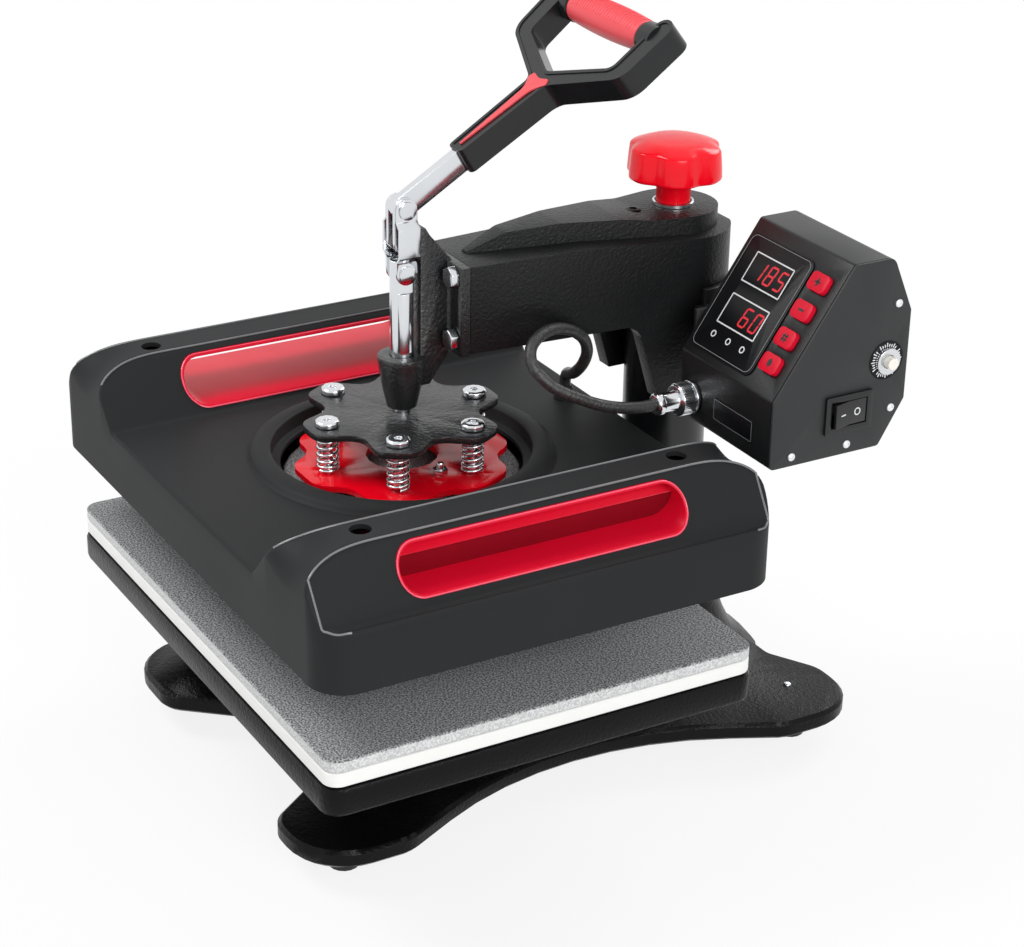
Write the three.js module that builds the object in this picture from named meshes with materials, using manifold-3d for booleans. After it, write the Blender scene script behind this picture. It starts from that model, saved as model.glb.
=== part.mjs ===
// A swing-arm heat press for flat goods, shown with its head raised.
// Millimetres, +Z up. The operator stands on the -Y side and +X is at the right hand.
// While it is drawn, y = 0 is the spindle's axis. At the end the whole press is moved along Y,
// so that the origin lies on the table under the middle of its outline.
import * as THREE from "three";
import { mergeVertices } from "three/addons/utils/BufferGeometryUtils.js";
import Module from "manifold-3d";

const wasm = await Module();
wasm.setup();

// Clearances and counts that every piece shares
const gap = 0.3; // between two pieces that touch
const overrun = 3; // how far a cutting shape passes what it cuts
const weld = 1e-4; // vertices closer than this are one
const roundSteps = { large: 32, medium: 16, small: 10, corner: 2 };

// Driving sizes of the press
const footHeight = 19;
const pressOpening = 44; // from the sponge pad up to the platen
const axes = { column: 197.2 }; // the column's axis behind the spindle's
const pad = { corner: 10, silicone: 9.7, sponge: 8.1, edgeRound: 1.2 };
const base = {
  rightReach: 138,
  leftReach: 161,
  frontReach: 131,
  rearReach: 280,
  thickness: 12,
  roof: 5,
  bossRadius: 16,
  hubRadius: 46,
  bellFoot: 72,
  socketFloor: 17,
  socketTop: 130,
};
const foot = { radius: 11.5, toeRadius: 10.2, across: 0.735, front: 0.0905, rear: 0.911 };
const column = { radius: 27.7, wall: 3, belowRoof: 16 };
const tray = {
  margin: 1.4,
  corner: 12,
  bottom: 97,
  thickness: 19,
  bevel: 3,
  topSkin: 8,
  rim: 8,
  hub: 54,
};
const pedestal = { postRadius: 20, footRadius: 46, headRadius: 50, flange: 7, flare: 8 };

// The heated head
const platen = { sideMargin: 10.8, endMargin: 6.95, thickness: 14, corner: 12, edgeRound: 1.5 };
const cover = {
  halfWidth: 200.8,
  halfDepth: 152.45,
  corner: 22.3,
  hang: 3, // its hem is this far above the platen's underside
  wallHeight: 39.4,
  edgeRound: 3,
  wall: 3,
};
const ridge = {
  fromCollar: 10.2,
  innerCrest: 0.3556, // shares of the width between its inner foot and the cover's side
  outerCrest: 0.6304,
  outerFoot: 0.888,
  height: 36.2,
  crestRound: 7,
  footSink: 6,
  endLength: 52.45,
  endSteps: 7,
};
const slot = { halfLength: 96, lowGap: 3.2, highGap: 31.8, endRound: 14, line: 1.8, proud: 0.8 };
const trough = {
  wall: 2,
  floorOuter: 0.6142, // shares of the same width
  floorInner: 0.3879,
  coveInner: 0.2371,
  topInner: 0.1034,
  topOuter: 0.8039,
  floorDrop: 12.8,
  coveDrop: 3.8,
  topRise: 4.7,
};
const post = {
  across: 0.4774, // a share of the same width
  fromEnd: 47.05,
  cup: 8,
  hole: 6.5,
  cupDepth: 14,
  radius: 6,
  floor: 3,
  screw: 2.5,
};
const collar = {
  outer: 97.8,
  crestOuter: 90,
  crestInner: 84,
  inner: 82.2,
  step: 76.7,
  rise: 5.2,
  stepDrop: 4.8,
  lip: 3,
  softening: 1.2,
};
const well = { radius: 75.4, top: 208, skin: 3.5, wall: 3 };
const redPlate = {
  bottom: 214,
  thickness: 4,
  lobeReach: 69,
  waist: 58,
  lobeRadius: 17,
  hole: 23,
  boss: 6.2,
};
const starPlate = { bottom: 244, thickness: 4.2, lobeReach: 65, waist: 45, lobeRadius: 12 };
const bolts = {
  count: 6,
  circle: 51.9,
  firstAngle: Math.PI / 6,
  shank: 3.4,
  head: 7.8,
  headHeight: 4.2,
  crown: 1,
  grip: 7.5,
};
const spring = { wire: 2.2, mean: 6.2, curls: 6, steps: 8, sides: 5 };
const spindle = {
  radius: 7.4,
  neckRadius: 5.4,
  neckTop: 252,
  bottom: 236,
  flat: 5.4,
  flatBelow: 13,
  flatAbove: 8,
  nutAcross: 18,
};

// The toggle, drawn at its upper dead centre
const toggle = {
  pivot: 361, // height of the fixed pin
  crank: 21,
  link: 41,
  pin: 3.5,
  pinHead: 5.6,
  headThickness: 1.6,
  nose: 2.6,
  plate: 2.5,
  plateEnd: 7.4,
  barHalf: 3.1,
  barWidth: 14.8,
  linkThickness: 2,
  linkWidth: 14,
  bulge: 9.6,
  joggle: 4,
  bulgeLow: 8,
  bulgeHigh: 10,
};
const handle = {
  slope: THREE.MathUtils.degToRad(31),
  bend: THREE.MathUtils.degToRad(7),
  bendStart: 115,
  stemStart: 47,
  stemHalf: 7.6,
  stemCorner: 3.6,
  forkHalf: 9.5,
  fork: 112,
  forkInside: 131,
  thickness: 17.4,
  edgeRound: 2.4,
  outerHalf: 66,
  innerHalf: 48,
  shoulder: 141,
  innerShoulder: 152,
  end: 188,
  barSocket: 30,
};
const grip = { place: 176, core: 5, radius: 11.4, endRadius: 9.8, halfLength: 40, hub: 10.6 };
const inlay = { start: 52, neck: 106, tee: 116, end: 125, tip: 1, half: 3.6, teeHalf: 12, thick: 1 };
const knob = {
  neckLength: 18.6, // from the arm's roof up to the grip's hem
  height: 25.4,
  radius: 31.8,
  shoulder: 30.4,
  domeDrop: 5.6,
  crown: 24,
  lobes: 8,
  lobeTurn: THREE.MathUtils.degToRad(9.5),
  scallop: 3.2,
  neck: 11.3,
  chamfer: 1.6,
};

// The swinging arm and its bracket
const arm = {
  front: 34.1,
  endHalf: 26.5,
  bottom: 289,
  top: 346,
  sleeve: 38,
  sleeveBottom: 236,
  cheekAhead: 29.2,
  throatAhead: 45.2,
  throatRound: 14,
  wall: 4.5,
  roof: 5,
  rearTop: 342,
  cheekOpening: 24,
};
const hump = {
  start: 0.061, // shares of the way from the arm's front to the column
  shoulder: 0.214,
  shoulderHeight: 11,
  crest: 0.4347,
  crestHeight: 13,
  rear: 0.686,
  rearHeight: 11,
  bossHeight: 8,
  tipRadius: 3,
  bossRadius: 29.2,
  sunk: 2,
};
const washer = { radius: 13, height: 2 };
const bracket = {
  flange: 6.2,
  halfWidth: 26.5,
  bottom: 288,
  top: 346,
  webHalf: 8,
  webFront: 9.2,
  webTop: 369,
  chamferY: 15.5,
  chamferZ: 364,
  guideTop: 286,
  guideMiddle: 265,
  guideBottom: 252,
  guideTopRadius: 15.3,
  guideMiddleRadius: 12.4,
  guideBottomRadius: 9.4,
  webFoot: 266,
};
const bracketBolt = { x: 18, highZ: 338.5, lowZ: 297.5, across: 12.5, height: 5.5, shank: 3.6, grip: 9 };

// The control box, drawn as its outline in the Y-Z plane
const box = {
  left: 68.6,
  right: 167.9,
  sheet: 1.6,
  plate: 1.8,
  bottom: 239.4,
  frontReach: 33.8, // ahead of the column's axis
  slopeFoot: 284,
  slopeDepth: 54.5,
  top: 362.7,
  topInset: 15.6,
  rearReach: 65.4,
  rearHigh: 327,
  rearLow: 268.5,
  bottomInset: 17.6,
  bend: 3,
};
const display = {
  left: 71.9,
  right: 137,
  low: 5.4,
  high: 86.4,
  corner: 6,
  thickness: 0.8,
  windowLeft: 85,
  windowRight: 124.6,
  upperLow: 55,
  lowerLow: 25.4,
  windowHeight: 21,
  frame: 0.5,
  windowCorner: 0.8,
};
const button = {
  x: 149,
  places: [76.2, 56.8, 37.5, 19.8],
  width: 17,
  height: 12,
  corner: 3.4,
  proud: 3,
  travel: 1,
  lip: 1.2,
  lipThickness: 1.5,
};
const board = { depth: 8, thickness: 1.6, inset: 6, low: 3, high: 93, post: 2.6, postInset: 3.4, key: 8 };
const rocker = {
  fromRear: 43.1,
  z: 267.5,
  bezelLong: 35,
  bezelTall: 25,
  bezelThickness: 2.2,
  bodyLong: 29,
  bodyTall: 19.4,
  bodyDepth: 17,
  wall: 1.2,
  long: 25.2,
  tall: 16,
  swell: 2.2,
  pivotDepth: 5,
  tilt: THREE.MathUtils.degToRad(8),
};
const breaker = {
  fromRear: 16.5,
  z: 296.6,
  nut: 8.6,
  nutHeight: 3.4,
  bush: 5.6,
  bushDepth: 9,
  bore: 4.4,
  button: 4,
  proud: 8,
  travel: 1.5,
};
const inlet = { x: 112, z: 297, width: 28, height: 22, flange: 2.4, bodyMargin: 3, depth: 16, hollow: 12 };
const socket = { x: 82, z: 256, flange: 11, flangeThickness: 2.4, thread: 6, depth: 14, neck: 2.5 };
const plug = {
  nut: 10.4,
  nutLength: 10,
  barrel: 6.3,
  barrelLength: 10,
  clamp: 7.2,
  clampLength: 5.4,
  chamfer: 1,
};
const saddle = {
  thickness: 4.2,
  reach: 28,
  webHalf: 7,
  low: 272,
  high: 308,
  webLow: 282,
  webHigh: 298,
  padHalfLength: 24,
  padThickness: 3,
};
const gland = { x: -24, y: 134, radius: 7, rise: 8 };

// The lead from the control box to the head: its thickness, and the points of its middle line,
// first from the box's front and then from the gland on the cover
const lead = { radius: 3.8, sides: 10, steps: 34 };
const leadFromBox = [
  [82, -25.7, 256],
  [82, -39.4, 256.5],
  [81, -52.4, 258.5],
  [79, -66.4, 262.5],
  [76, -82.9, 270],
  [72, -95.4, 277],
  [68, -101.9, 283.5],
  [62, -105.9, 291],
  [56, -103.4, 298.5],
];
const leadToGland = [
  [75, -65, 303.5],
  [70, -51.4, 304],
  [66, -37, 299],
  [62, -25, 289.5],
  [56, -18.5, 277.5],
  [47, -16, 265],
  [34, -14, 254],
  [20, -9, 247.5],
  [10, -4, 243],
  [2, -0.6, 237.5],
  [0, 0, 231.5],
  [0, 0, 225.5],
];

// Places across the cover that follow from the sizes above
const pressHalf = {
  width: cover.halfWidth - platen.sideMargin,
  depth: cover.halfDepth - platen.endMargin,
};
const ridgeInner = collar.outer + ridge.fromCollar;
const overRidge = (share) => ridgeInner + share * (cover.halfWidth - ridgeInner);
const ridgeOuter = overRidge(ridge.outerFoot);
const postPlace = { x: overRidge(post.across), y: cover.halfDepth - post.fromEnd };

// Places behind the spindle that follow from the column's axis
const armPlace = {
  throat: axes.column - arm.throatAhead,
  cheek: axes.column - arm.cheekAhead,
  hump: (share) => arm.front + share * (axes.column - arm.front),
};
const boxFront = axes.column - box.frontReach;
const boxRear = axes.column + box.rearReach;
const rockerY = boxRear - rocker.fromRear;
const breakerY = boxRear - breaker.fromRear;

// Heights that follow from the sizes above
const baseTop = footHeight + base.thickness;
const trayTop = tray.bottom + tray.thickness;
const siliconeBottom = trayTop + gap;
const siliconeTop = trayTop + pad.silicone;
const spongeBottom = siliconeTop + gap;
const spongeTop = siliconeTop + pad.sponge + gap;
const platenBottom = spongeTop + pressOpening;
const platenTop = platenBottom + platen.thickness;
const coverBottom = platenBottom + cover.hang;
const coverTop = coverBottom + cover.wallHeight;
const ridgeTop = coverTop + ridge.height;
const starTop = starPlate.bottom + starPlate.thickness;
const redTop = redPlate.bottom + redPlate.thickness;
const armRoof = arm.top + hump.bossHeight;
const columnTop = armRoof - column.belowRoof;
const knobBottom = armRoof + knob.neckLength;
const knobTop = knobBottom + knob.height;
const rodPin = toggle.pivot + toggle.crank - toggle.link;
const crankPin = toggle.pivot + toggle.crank;

// A closed three.js geometry as a solid that can be joined and cut
function solid(geometry) {
  const bare = geometry.clone();
  bare.deleteAttribute("normal");
  bare.deleteAttribute("uv");
  const welded = mergeVertices(bare, weld);
  const corners = welded.index.array;
  const kept = [];
  for (let i = 0; i < corners.length; i += 3) {
    const [a, b, c] = corners.slice(i, i + 3);
    if (a !== b && b !== c && c !== a) kept.push(a, b, c);
  }
  const mesh = new wasm.Mesh({
    numProp: 3,
    vertProperties: new Float32Array(welded.attributes.position.array),
    triVerts: new Uint32Array(kept),
  });
  return new wasm.Manifold(mesh);
}

// Several geometries joined into one solid
function joined(...geometries) {
  const [first, ...rest] = geometries.map(solid);
  return rest.reduce((whole, next) => whole.add(next), first);
}

// A mesh of a solid or a geometry, under its own name and with its own finish
function piece(name, shape, color, roughness, metalness) {
  let geometry = shape;
  if (!shape.isBufferGeometry) {
    const { vertProperties, triVerts } = shape.getMesh();
    const shared = new THREE.BufferGeometry();
    shared.setAttribute("position", new THREE.BufferAttribute(vertProperties, 3));
    shared.setIndex(new THREE.BufferAttribute(triVerts, 1));
    geometry = shared.toNonIndexed();
    geometry.computeVertexNormals();
  }
  const mesh = new THREE.Mesh(
    geometry,
    new THREE.MeshStandardMaterial({ color, roughness, metalness }),
  );
  mesh.name = name;
  return mesh;
}

// Finishes of the press
const finish = {
  castBlack: [0x1b1c1e, 0.55, 0.3],
  coverBlack: [0x2b2c2e, 0.6, 0],
  handleBlack: [0x1d1d1f, 0.4, 0],
  sheetBlack: [0x222325, 0.5, 0.3],
  gloss: [0x0c0d10, 0.15, 0],
  red: [0xe0141e, 0.35, 0],
  redPaint: [0xd8101c, 0.25, 0.2],
  coral: [0xf0555a, 0.45, 0],
  chrome: [0xdfe2e6, 0.15, 1],
  steel: [0xb9bdc2, 0.3, 1],
  aluminium: [0xa9adb2, 0.4, 1],
  speckled: [0x8b8b8b, 0.6, 0.4],
  silicone: [0xf2f2f0, 0.6, 0],
  sponge: [0x8d8f92, 0.85, 0],
  rubber: [0x141414, 0.9, 0],
  board: [0x1f6b3a, 0.6, 0],
  ivory: [0xf4f2ec, 0.4, 0],
};

// A block between two corners
function block(x0, x1, y0, y1, z0, z1) {
  const geometry = new THREE.BoxGeometry(x1 - x0, y1 - y0, z1 - z0);
  return geometry.translate((x0 + x1) / 2, (y0 + y1) / 2, (z0 + z1) / 2);
}

// A revolved profile of [radius, height] points around Z, or a disc or ring of one step
function turned(profile, steps = roundSteps.medium) {
  const points = profile.map(([radius, height]) => new THREE.Vector2(radius, height));
  return new THREE.LatheGeometry(points, steps).rotateX(Math.PI / 2);
}

function disc(radius, low, high, steps) {
  return turned([[0, low], [radius, low], [radius, high], [0, high]], steps);
}

function ring(inner, outer, low, high, steps) {
  return turned([[inner, low], [outer, low], [outer, high], [inner, high], [inner, low]], steps);
}

// The same round forms with their axis along X or along Y
function alongX(geometry) {
  return geometry.rotateY(Math.PI / 2);
}

function alongY(geometry) {
  return geometry.rotateX(-Math.PI / 2);
}

// A hexagonal prism, with its axis along Z and one pair of flats across Y
function hexagon(across, low, high) {
  const radius = across / Math.sqrt(3);
  const geometry = new THREE.CylinderGeometry(radius, radius, high - low, 6);
  return geometry.rotateX(Math.PI / 2).translate(0, 0, (low + high) / 2);
}

// An outline with rounded corners, each given as [x, y, radius]
function outline(corners) {
  const shape = new THREE.Shape();
  corners.forEach(([x, y, radius = 0], i) => {
    const here = new THREE.Vector2(x, y);
    const [bx, by] = corners[(i + corners.length - 1) % corners.length];
    const [ax, ay] = corners[(i + 1) % corners.length];
    const back = new THREE.Vector2(bx - x, by - y).normalize();
    const onward = new THREE.Vector2(ax - x, ay - y).normalize();
    const half = Math.acos(THREE.MathUtils.clamp(back.dot(onward), -1, 1)) / 2;
    if (radius <= 0 || Math.PI / 2 - half < weld) {
      if (i === 0) shape.moveTo(x, y);
      else shape.lineTo(x, y);
      return;
    }
    const start = here.clone().addScaledVector(back, radius / Math.tan(half));
    const end = here.clone().addScaledVector(onward, radius / Math.tan(half));
    const middle = back.clone().add(onward).normalize();
    const centre = here.clone().addScaledVector(middle, radius / Math.sin(half));
    const clockwise = back.cross(onward) > 0;
    const from = start.sub(centre).angle();
    const to = end.sub(centre).angle();
    if (i > 0 && shape.curves.length === 0) {
      shape.lineTo(centre.x + radius * Math.cos(from), centre.y + radius * Math.sin(from));
    }
    shape.absarc(centre.x, centre.y, radius, from, to, clockwise);
  });
  shape.closePath();
  return shape;
}

// The same corners drawn in by a distance, so that a wall has one thickness all round
function drawnIn(corners, distance) {
  const edges = corners.map(([x, y], i) => {
    const [nx, ny] = corners[(i + 1) % corners.length];
    const along = new THREE.Vector2(nx - x, ny - y).normalize();
    return { x: x - along.y * distance, y: y + along.x * distance, along };
  });
  return corners.map(([, , radius = 0], i) => {
    const one = edges[(i + corners.length - 1) % corners.length];
    const two = edges[i];
    const turn = one.along.cross(two.along);
    const reach = ((two.x - one.x) * two.along.y - (two.y - one.y) * two.along.x) / turn;
    const inner = turn > 0 ? Math.max(radius - distance, 0) : radius > 0 ? radius + distance : 0;
    return [one.x + one.along.x * reach, one.y + one.along.y * reach, inner];
  });
}

// Corners of the right half, mirrored to the left, counter-clockwise from the front middle
function bothHalves(half) {
  const left = half.map(([x, y, radius]) => [-x, y, radius]).reverse();
  return [...half, ...left].filter(([x], i) => !(x === 0 && i >= half.length));
}

// A rectangle's corners, counter-clockwise
function rectangle(x0, x1, y0, y1, radius) {
  return [[x0, y0, radius], [x1, y0, radius], [x1, y1, radius], [x0, y1, radius]];
}

// The outline that the platen and the pads share
function pressRectangle(corner) {
  const { width, depth } = pressHalf;
  return rectangle(-width, width, -depth, depth, corner);
}

// A flat outline given a thickness along Z, X or Y
function slab(corners, low, high, steps = roundSteps.corner) {
  const settings = { depth: high - low, bevelEnabled: false, curveSegments: steps };
  return new THREE.ExtrudeGeometry(outline(corners), settings).translate(0, 0, low);
}

const sideways = new THREE.Matrix4().makeBasis(
  new THREE.Vector3(0, 1, 0),
  new THREE.Vector3(0, 0, 1),
  new THREE.Vector3(1, 0, 0),
);

function slabAlongX(cornersYZ, low, high, steps) {
  return slab(cornersYZ, low, high, steps).applyMatrix4(sideways);
}

function slabAlongY(cornersXZ, low, high, steps) {
  return slab(cornersXZ, -high, -low, steps).rotateX(Math.PI / 2);
}

// A slab along Z whose rims are rounded
function softSlab(corners, low, high, round, steps = roundSteps.corner, rings = 2) {
  const settings = {
    depth: high - low - 2 * round,
    bevelEnabled: true,
    bevelThickness: round,
    bevelSize: round,
    bevelOffset: -round,
    bevelSegments: rings,
    curveSegments: steps,
  };
  return new THREE.ExtrudeGeometry(outline(corners), settings).translate(0, 0, low + round);
}

// Two circles and what a belt round them would hold, in the Y-Z plane
function belt(y0, z0, r0, y1, z1, r1, low, high) {
  const length = Math.hypot(y1 - y0, z1 - z0);
  const heading = Math.atan2(z1 - z0, y1 - y0);
  const lean = Math.acos((r0 - r1) / length);
  const shape = new THREE.Shape();
  shape.absarc(y1, z1, r1, heading - lean, heading + lean, false);
  shape.absarc(y0, z0, r0, heading + lean, heading - lean + 2 * Math.PI, false);
  shape.closePath();
  const settings = { depth: high - low, bevelEnabled: false, curveSegments: 4 };
  return new THREE.ExtrudeGeometry(shape, settings).translate(0, 0, low).applyMatrix4(sideways);
}

// The press and the groups that move together
const press = new THREE.Group();
const groups = {};
for (const name of ["base", "arm", "knob", "lever", "links", "head", "platen", "controls"]) {
  groups[name] = new THREE.Group();
  press.add(groups[name]);
}

// The base casting: a plate with four round-ended feet, hollow below between its ribs,
// and a bell that holds the column
const baseDepth = base.frontReach + base.rearReach;
const baseOutlineShares = [
  [0, 0.13, 0],
  [0.33, 0.112, 0.17],
  [0.57, 0, 0.16],
  [1, 0, 0.29],
  [1, 0.16, 0.22],
  [0.493, 0.504, 1.725],
  [0.985, 0.842, 0.22],
  [0.985, 1, 0.275],
  [0.6, 1, 0.2],
  [0.36, 0.954, 0.1],
  [0, 0.954, 0],
];
const pocketShares = [
  [[0.045, 0.155], [0.38, 0.155], [0.62, 0.03], [0.92, 0.03], [0.93, 0.16], [0.64, 0.4], [0.045, 0.4]],
  [[0.045, 0.43], [0.62, 0.43], [0.62, 0.59], [0.045, 0.59]],
  [[0.045, 0.62], [0.62, 0.62], [0.9, 0.84], [0.9, 0.96], [0.65, 0.97], [0.4, 0.925], [0.045, 0.925]],
];
const pocketRound = 6;

function basePoint([across, along, round = 0]) {
  return [across * base.rightReach, along * baseDepth - base.frontReach, round * base.rightReach];
}

// The left feet reach further out than the right ones
function baseSide(corners) {
  const widening = base.leftReach / base.rightReach;
  return corners.map(([x, y, round]) => [x < 0 ? x * widening : x, y, round]);
}

function baseCasting() {
  const rim = baseSide(bothHalves(baseOutlineShares.map(basePoint)));
  const bellTop = base.socketTop;
  const bellShares = [[1, 0], [0.96, 0.02], [0.85, 0.075], [0.755, 0.14], [0.66, 0.28], [0.59, 0.42]];
  const bell = turned([
    [0, baseTop - overrun],
    [base.bellFoot, baseTop - overrun],
    ...bellShares.map(([r, h]) => [base.bellFoot * r, baseTop + (bellTop - baseTop) * h]),
    [column.radius + 2.4 * column.wall, baseTop + (bellTop - baseTop) * 0.6],
    [column.radius + 1.3 * column.wall, bellTop - column.wall],
    [column.radius + column.wall, bellTop],
    [column.radius + gap, bellTop],
    [column.radius + gap, base.socketFloor + footHeight],
    [0, base.socketFloor + footHeight],
  ], roundSteps.large).translate(0, axes.column, 0);
  const within = solid(slab(rim, footHeight, bellTop + overrun));
  let casting = solid(softSlab(rim, footHeight, baseTop, base.thickness / 5, 4, 1));
  const socketHole = disc(column.radius + gap, base.socketFloor + footHeight, bellTop, roundSteps.large);
  casting = casting.subtract(solid(socketHole.translate(0, axes.column, 0)));
  casting = casting.add(solid(bell).intersect(within));
  const ceiling = baseTop - base.roof;
  const solidSpots = [
    disc(base.hubRadius, footHeight - overrun, baseTop).translate(0, axes.column, 0),
    disc(pedestal.postRadius, footHeight - overrun, baseTop),
  ];
  for (const [x, y] of feetPlaces()) {
    solidSpots.push(disc(base.bossRadius, footHeight - overrun, baseTop).translate(x, y, 0));
  }
  const spots = joined(...solidSpots);
  for (const shares of pocketShares) {
    for (const side of [1, -1]) {
      const corners = shares.map((share) => {
        const [x, y] = basePoint(share);
        return [side * x, y, pocketRound];
      });
      if (side < 0) corners.reverse();
      const pocket = solid(slab(baseSide(corners), footHeight - overrun, ceiling, 1));
      casting = casting.subtract(pocket.subtract(spots));
    }
  }
  return casting;
}

// Four rubber feet under the casting's bosses
function feetPlaces() {
  const places = [foot.front, foot.rear].flatMap((along) => {
    return [-foot.across, foot.across].map((across) => basePoint([across, along]));
  });
  return baseSide(places);
}

groups.base.add(piece("base_casting", baseCasting(), ...finish.castBlack));
["front_left", "front_right", "rear_left", "rear_right"].forEach((where, i) => {
  const [x, y] = feetPlaces()[i];
  const shape = turned([
    [0, 0],
    [foot.toeRadius, 0],
    [foot.radius, footHeight - gap],
    [0, footHeight - gap],
  ]);
  groups.base.add(piece("rubber_foot_" + where, shape.translate(x, y, 0), ...finish.rubber));
});

// The steel column that the arm swings on
const columnTube = ring(
  column.radius - column.wall,
  column.radius,
  base.socketFloor + footHeight + gap,
  columnTop,
  roundSteps.large,
);
groups.base.add(piece("column_tube", columnTube.translate(0, axes.column, 0), ...finish.castBlack));

// The pedestal that carries the lower tray over the base
const pedestalShape = turned([
  [0, baseTop + gap],
  [pedestal.footRadius, baseTop + gap],
  [pedestal.footRadius, baseTop + pedestal.flange],
  [pedestal.postRadius + pedestal.flare, baseTop + pedestal.flange],
  [pedestal.postRadius, baseTop + pedestal.flange + pedestal.flare],
  [pedestal.postRadius, tray.bottom - pedestal.flange - pedestal.flare],
  [pedestal.postRadius + pedestal.flare, tray.bottom - pedestal.flange],
  [pedestal.headRadius, tray.bottom - pedestal.flange],
  [pedestal.headRadius, tray.bottom - gap],
  [0, tray.bottom - gap],
]);
groups.base.add(piece("tray_pedestal", pedestalShape, ...finish.castBlack));

// The lower tray: a cast plate with a bevelled rim, ribbed below
function lowerTray() {
  const x = pressHalf.width + tray.margin;
  const y = pressHalf.depth + tray.margin;
  let shape = solid(softSlab(rectangle(-x, x, -y, y, tray.corner), tray.bottom, trayTop, tray.bevel));
  const hub = solid(disc(tray.hub, tray.bottom - overrun, trayTop));
  for (const sideX of [-1, 1]) {
    for (const sideY of [-1, 1]) {
      const xs = [sideX * tray.rim, sideX * (x - tray.rim)].sort((a, b) => a - b);
      const ys = [sideY * tray.rim, sideY * (y - tray.rim)].sort((a, b) => a - b);
      const pocket = solid(block(...xs, ...ys, tray.bottom - overrun, trayTop - tray.topSkin));
      shape = shape.subtract(pocket.subtract(hub));
    }
  }
  return shape;
}
groups.base.add(piece("lower_tray", lowerTray(), ...finish.castBlack));

// Two soft layers on the tray: white silicone below and grey sponge above
const padCorners = pressRectangle(pad.corner);
const siliconeShape = softSlab(padCorners, siliconeBottom, siliconeTop, pad.edgeRound);
const spongeShape = softSlab(padCorners, spongeBottom, spongeTop, pad.edgeRound);
groups.base.add(piece("silicone_pad", siliconeShape, ...finish.silicone));
groups.base.add(piece("sponge_pad", spongeShape, ...finish.sponge));

// The arm: a casting that is an upturned channel in front and a sleeve round the column behind
function armHousing() {
  const rear = axes.column + arm.sleeve;
  const side = slabAlongX([
    [arm.front, arm.bottom, 0],
    [armPlace.throat, arm.bottom, arm.throatRound],
    [armPlace.cheek, arm.sleeveBottom, 0],
    [rear, arm.sleeveBottom, 0],
    [rear, arm.rearTop, arm.wall],
    [axes.column, arm.rearTop, arm.sleeve],
    [(arm.front + axes.column) / 2, arm.top, arm.sleeve],
    [arm.front, arm.top, 0],
  ], -arm.sleeve, arm.sleeve, 5);
  const plan = new THREE.Shape();
  const turn = Math.asin((arm.sleeve - arm.endHalf) / (axes.column - arm.front)) * 1.2;
  plan.moveTo(-arm.endHalf, arm.front);
  plan.lineTo(arm.endHalf, arm.front);
  plan.absarc(0, axes.column, arm.sleeve, -turn, Math.PI + turn, false);
  plan.closePath();
  const tall = { depth: armRoof - arm.sleeveBottom, bevelEnabled: false, curveSegments: 14 };
  const prism = new THREE.ExtrudeGeometry(plan, tall).translate(0, 0, arm.sleeveBottom);
  let body = solid(side).intersect(solid(prism));
  const channelTop = arm.top - arm.roof - arm.wall;
  const half = arm.endHalf - arm.wall;
  const channel = block(
    -half, half,
    arm.front + 2 * arm.wall, axes.column - column.radius - arm.wall,
    arm.bottom - overrun, channelTop,
  );
  body = body.add(humpShape()).add(solid(washerShape())).subtract(solid(channel));
  const bore = disc(column.radius + gap, arm.sleeveBottom - overrun, columnTop + gap, roundSteps.large);
  body = body.subtract(solid(bore.translate(0, axes.column, 0)));
  const mouth = block(
    -arm.cheekOpening, arm.cheekOpening,
    arm.front + 2 * arm.wall, axes.column,
    arm.sleeveBottom - overrun, arm.bottom,
  );
  body = body.subtract(solid(mouth));
  return drilled(body, arm.front - overrun, arm.front + bracketBolt.grip - bracket.flange + overrun);
}

// The teardrop on top of the arm, which ends in the round boss under the knob
function humpShape() {
  const start = armPlace.hump(hump.start);
  const length = axes.column - start;
  const lean = Math.acos((hump.bossRadius - hump.tipRadius) / length);
  const floor = arm.rearTop - arm.sleeve / 3;
  const plan = new THREE.Shape();
  const boss = hump.bossRadius;
  const tipX = hump.tipRadius * Math.sin(lean);
  const bossX = boss * Math.sin(lean);
  plan.moveTo(-tipX, start - hump.tipRadius * Math.cos(lean));
  plan.lineTo(tipX, start - hump.tipRadius * Math.cos(lean));
  plan.lineTo(bossX, axes.column - boss * Math.cos(lean));
  plan.absarc(0, axes.column, boss, lean - Math.PI / 2, (3 * Math.PI) / 2 - lean, false);
  plan.closePath();
  const depth = armRoof + hump.crestHeight - floor;
  const tall = { depth, bevelEnabled: false, curveSegments: 10 };
  const prism = solid(new THREE.ExtrudeGeometry(plan, tall).translate(0, 0, floor));
  const rear = axes.column + boss + overrun;
  const profile = slabAlongX([
    [start - overrun, floor, 0],
    [rear, floor, 0],
    [rear, armRoof, 0],
    [axes.column - boss, armRoof, boss],
    [armPlace.hump(hump.rear), arm.top + hump.rearHeight, boss],
    [armPlace.hump(hump.crest), arm.top + hump.crestHeight, boss],
    [armPlace.hump(hump.shoulder), arm.top + hump.shoulderHeight, boss / 2],
    [start - overrun, arm.top, 0],
  ], -boss, boss);
  return prism.intersect(solid(profile));
}

function washerShape() {
  const low = armRoof - hump.sunk;
  return disc(washer.radius, low, armRoof + washer.height).translate(0, axes.column, 0);
}

// Four hexagon bolts hold the bracket's flange to the arm's front
const flangeFront = arm.front - gap - bracket.flange;
const boltPlaces = [-1, 1].flatMap((side) => [
  [side * bracketBolt.x, bracketBolt.lowZ],
  [side * bracketBolt.x, bracketBolt.highZ],
]);

function drilled(shape, from, to) {
  return boltPlaces.reduce((body, [x, z]) => {
    const hole = alongY(disc(bracketBolt.shank + gap, from, to, roundSteps.small));
    return body.subtract(solid(hole.translate(x, 0, z)));
  }, shape);
}

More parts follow.
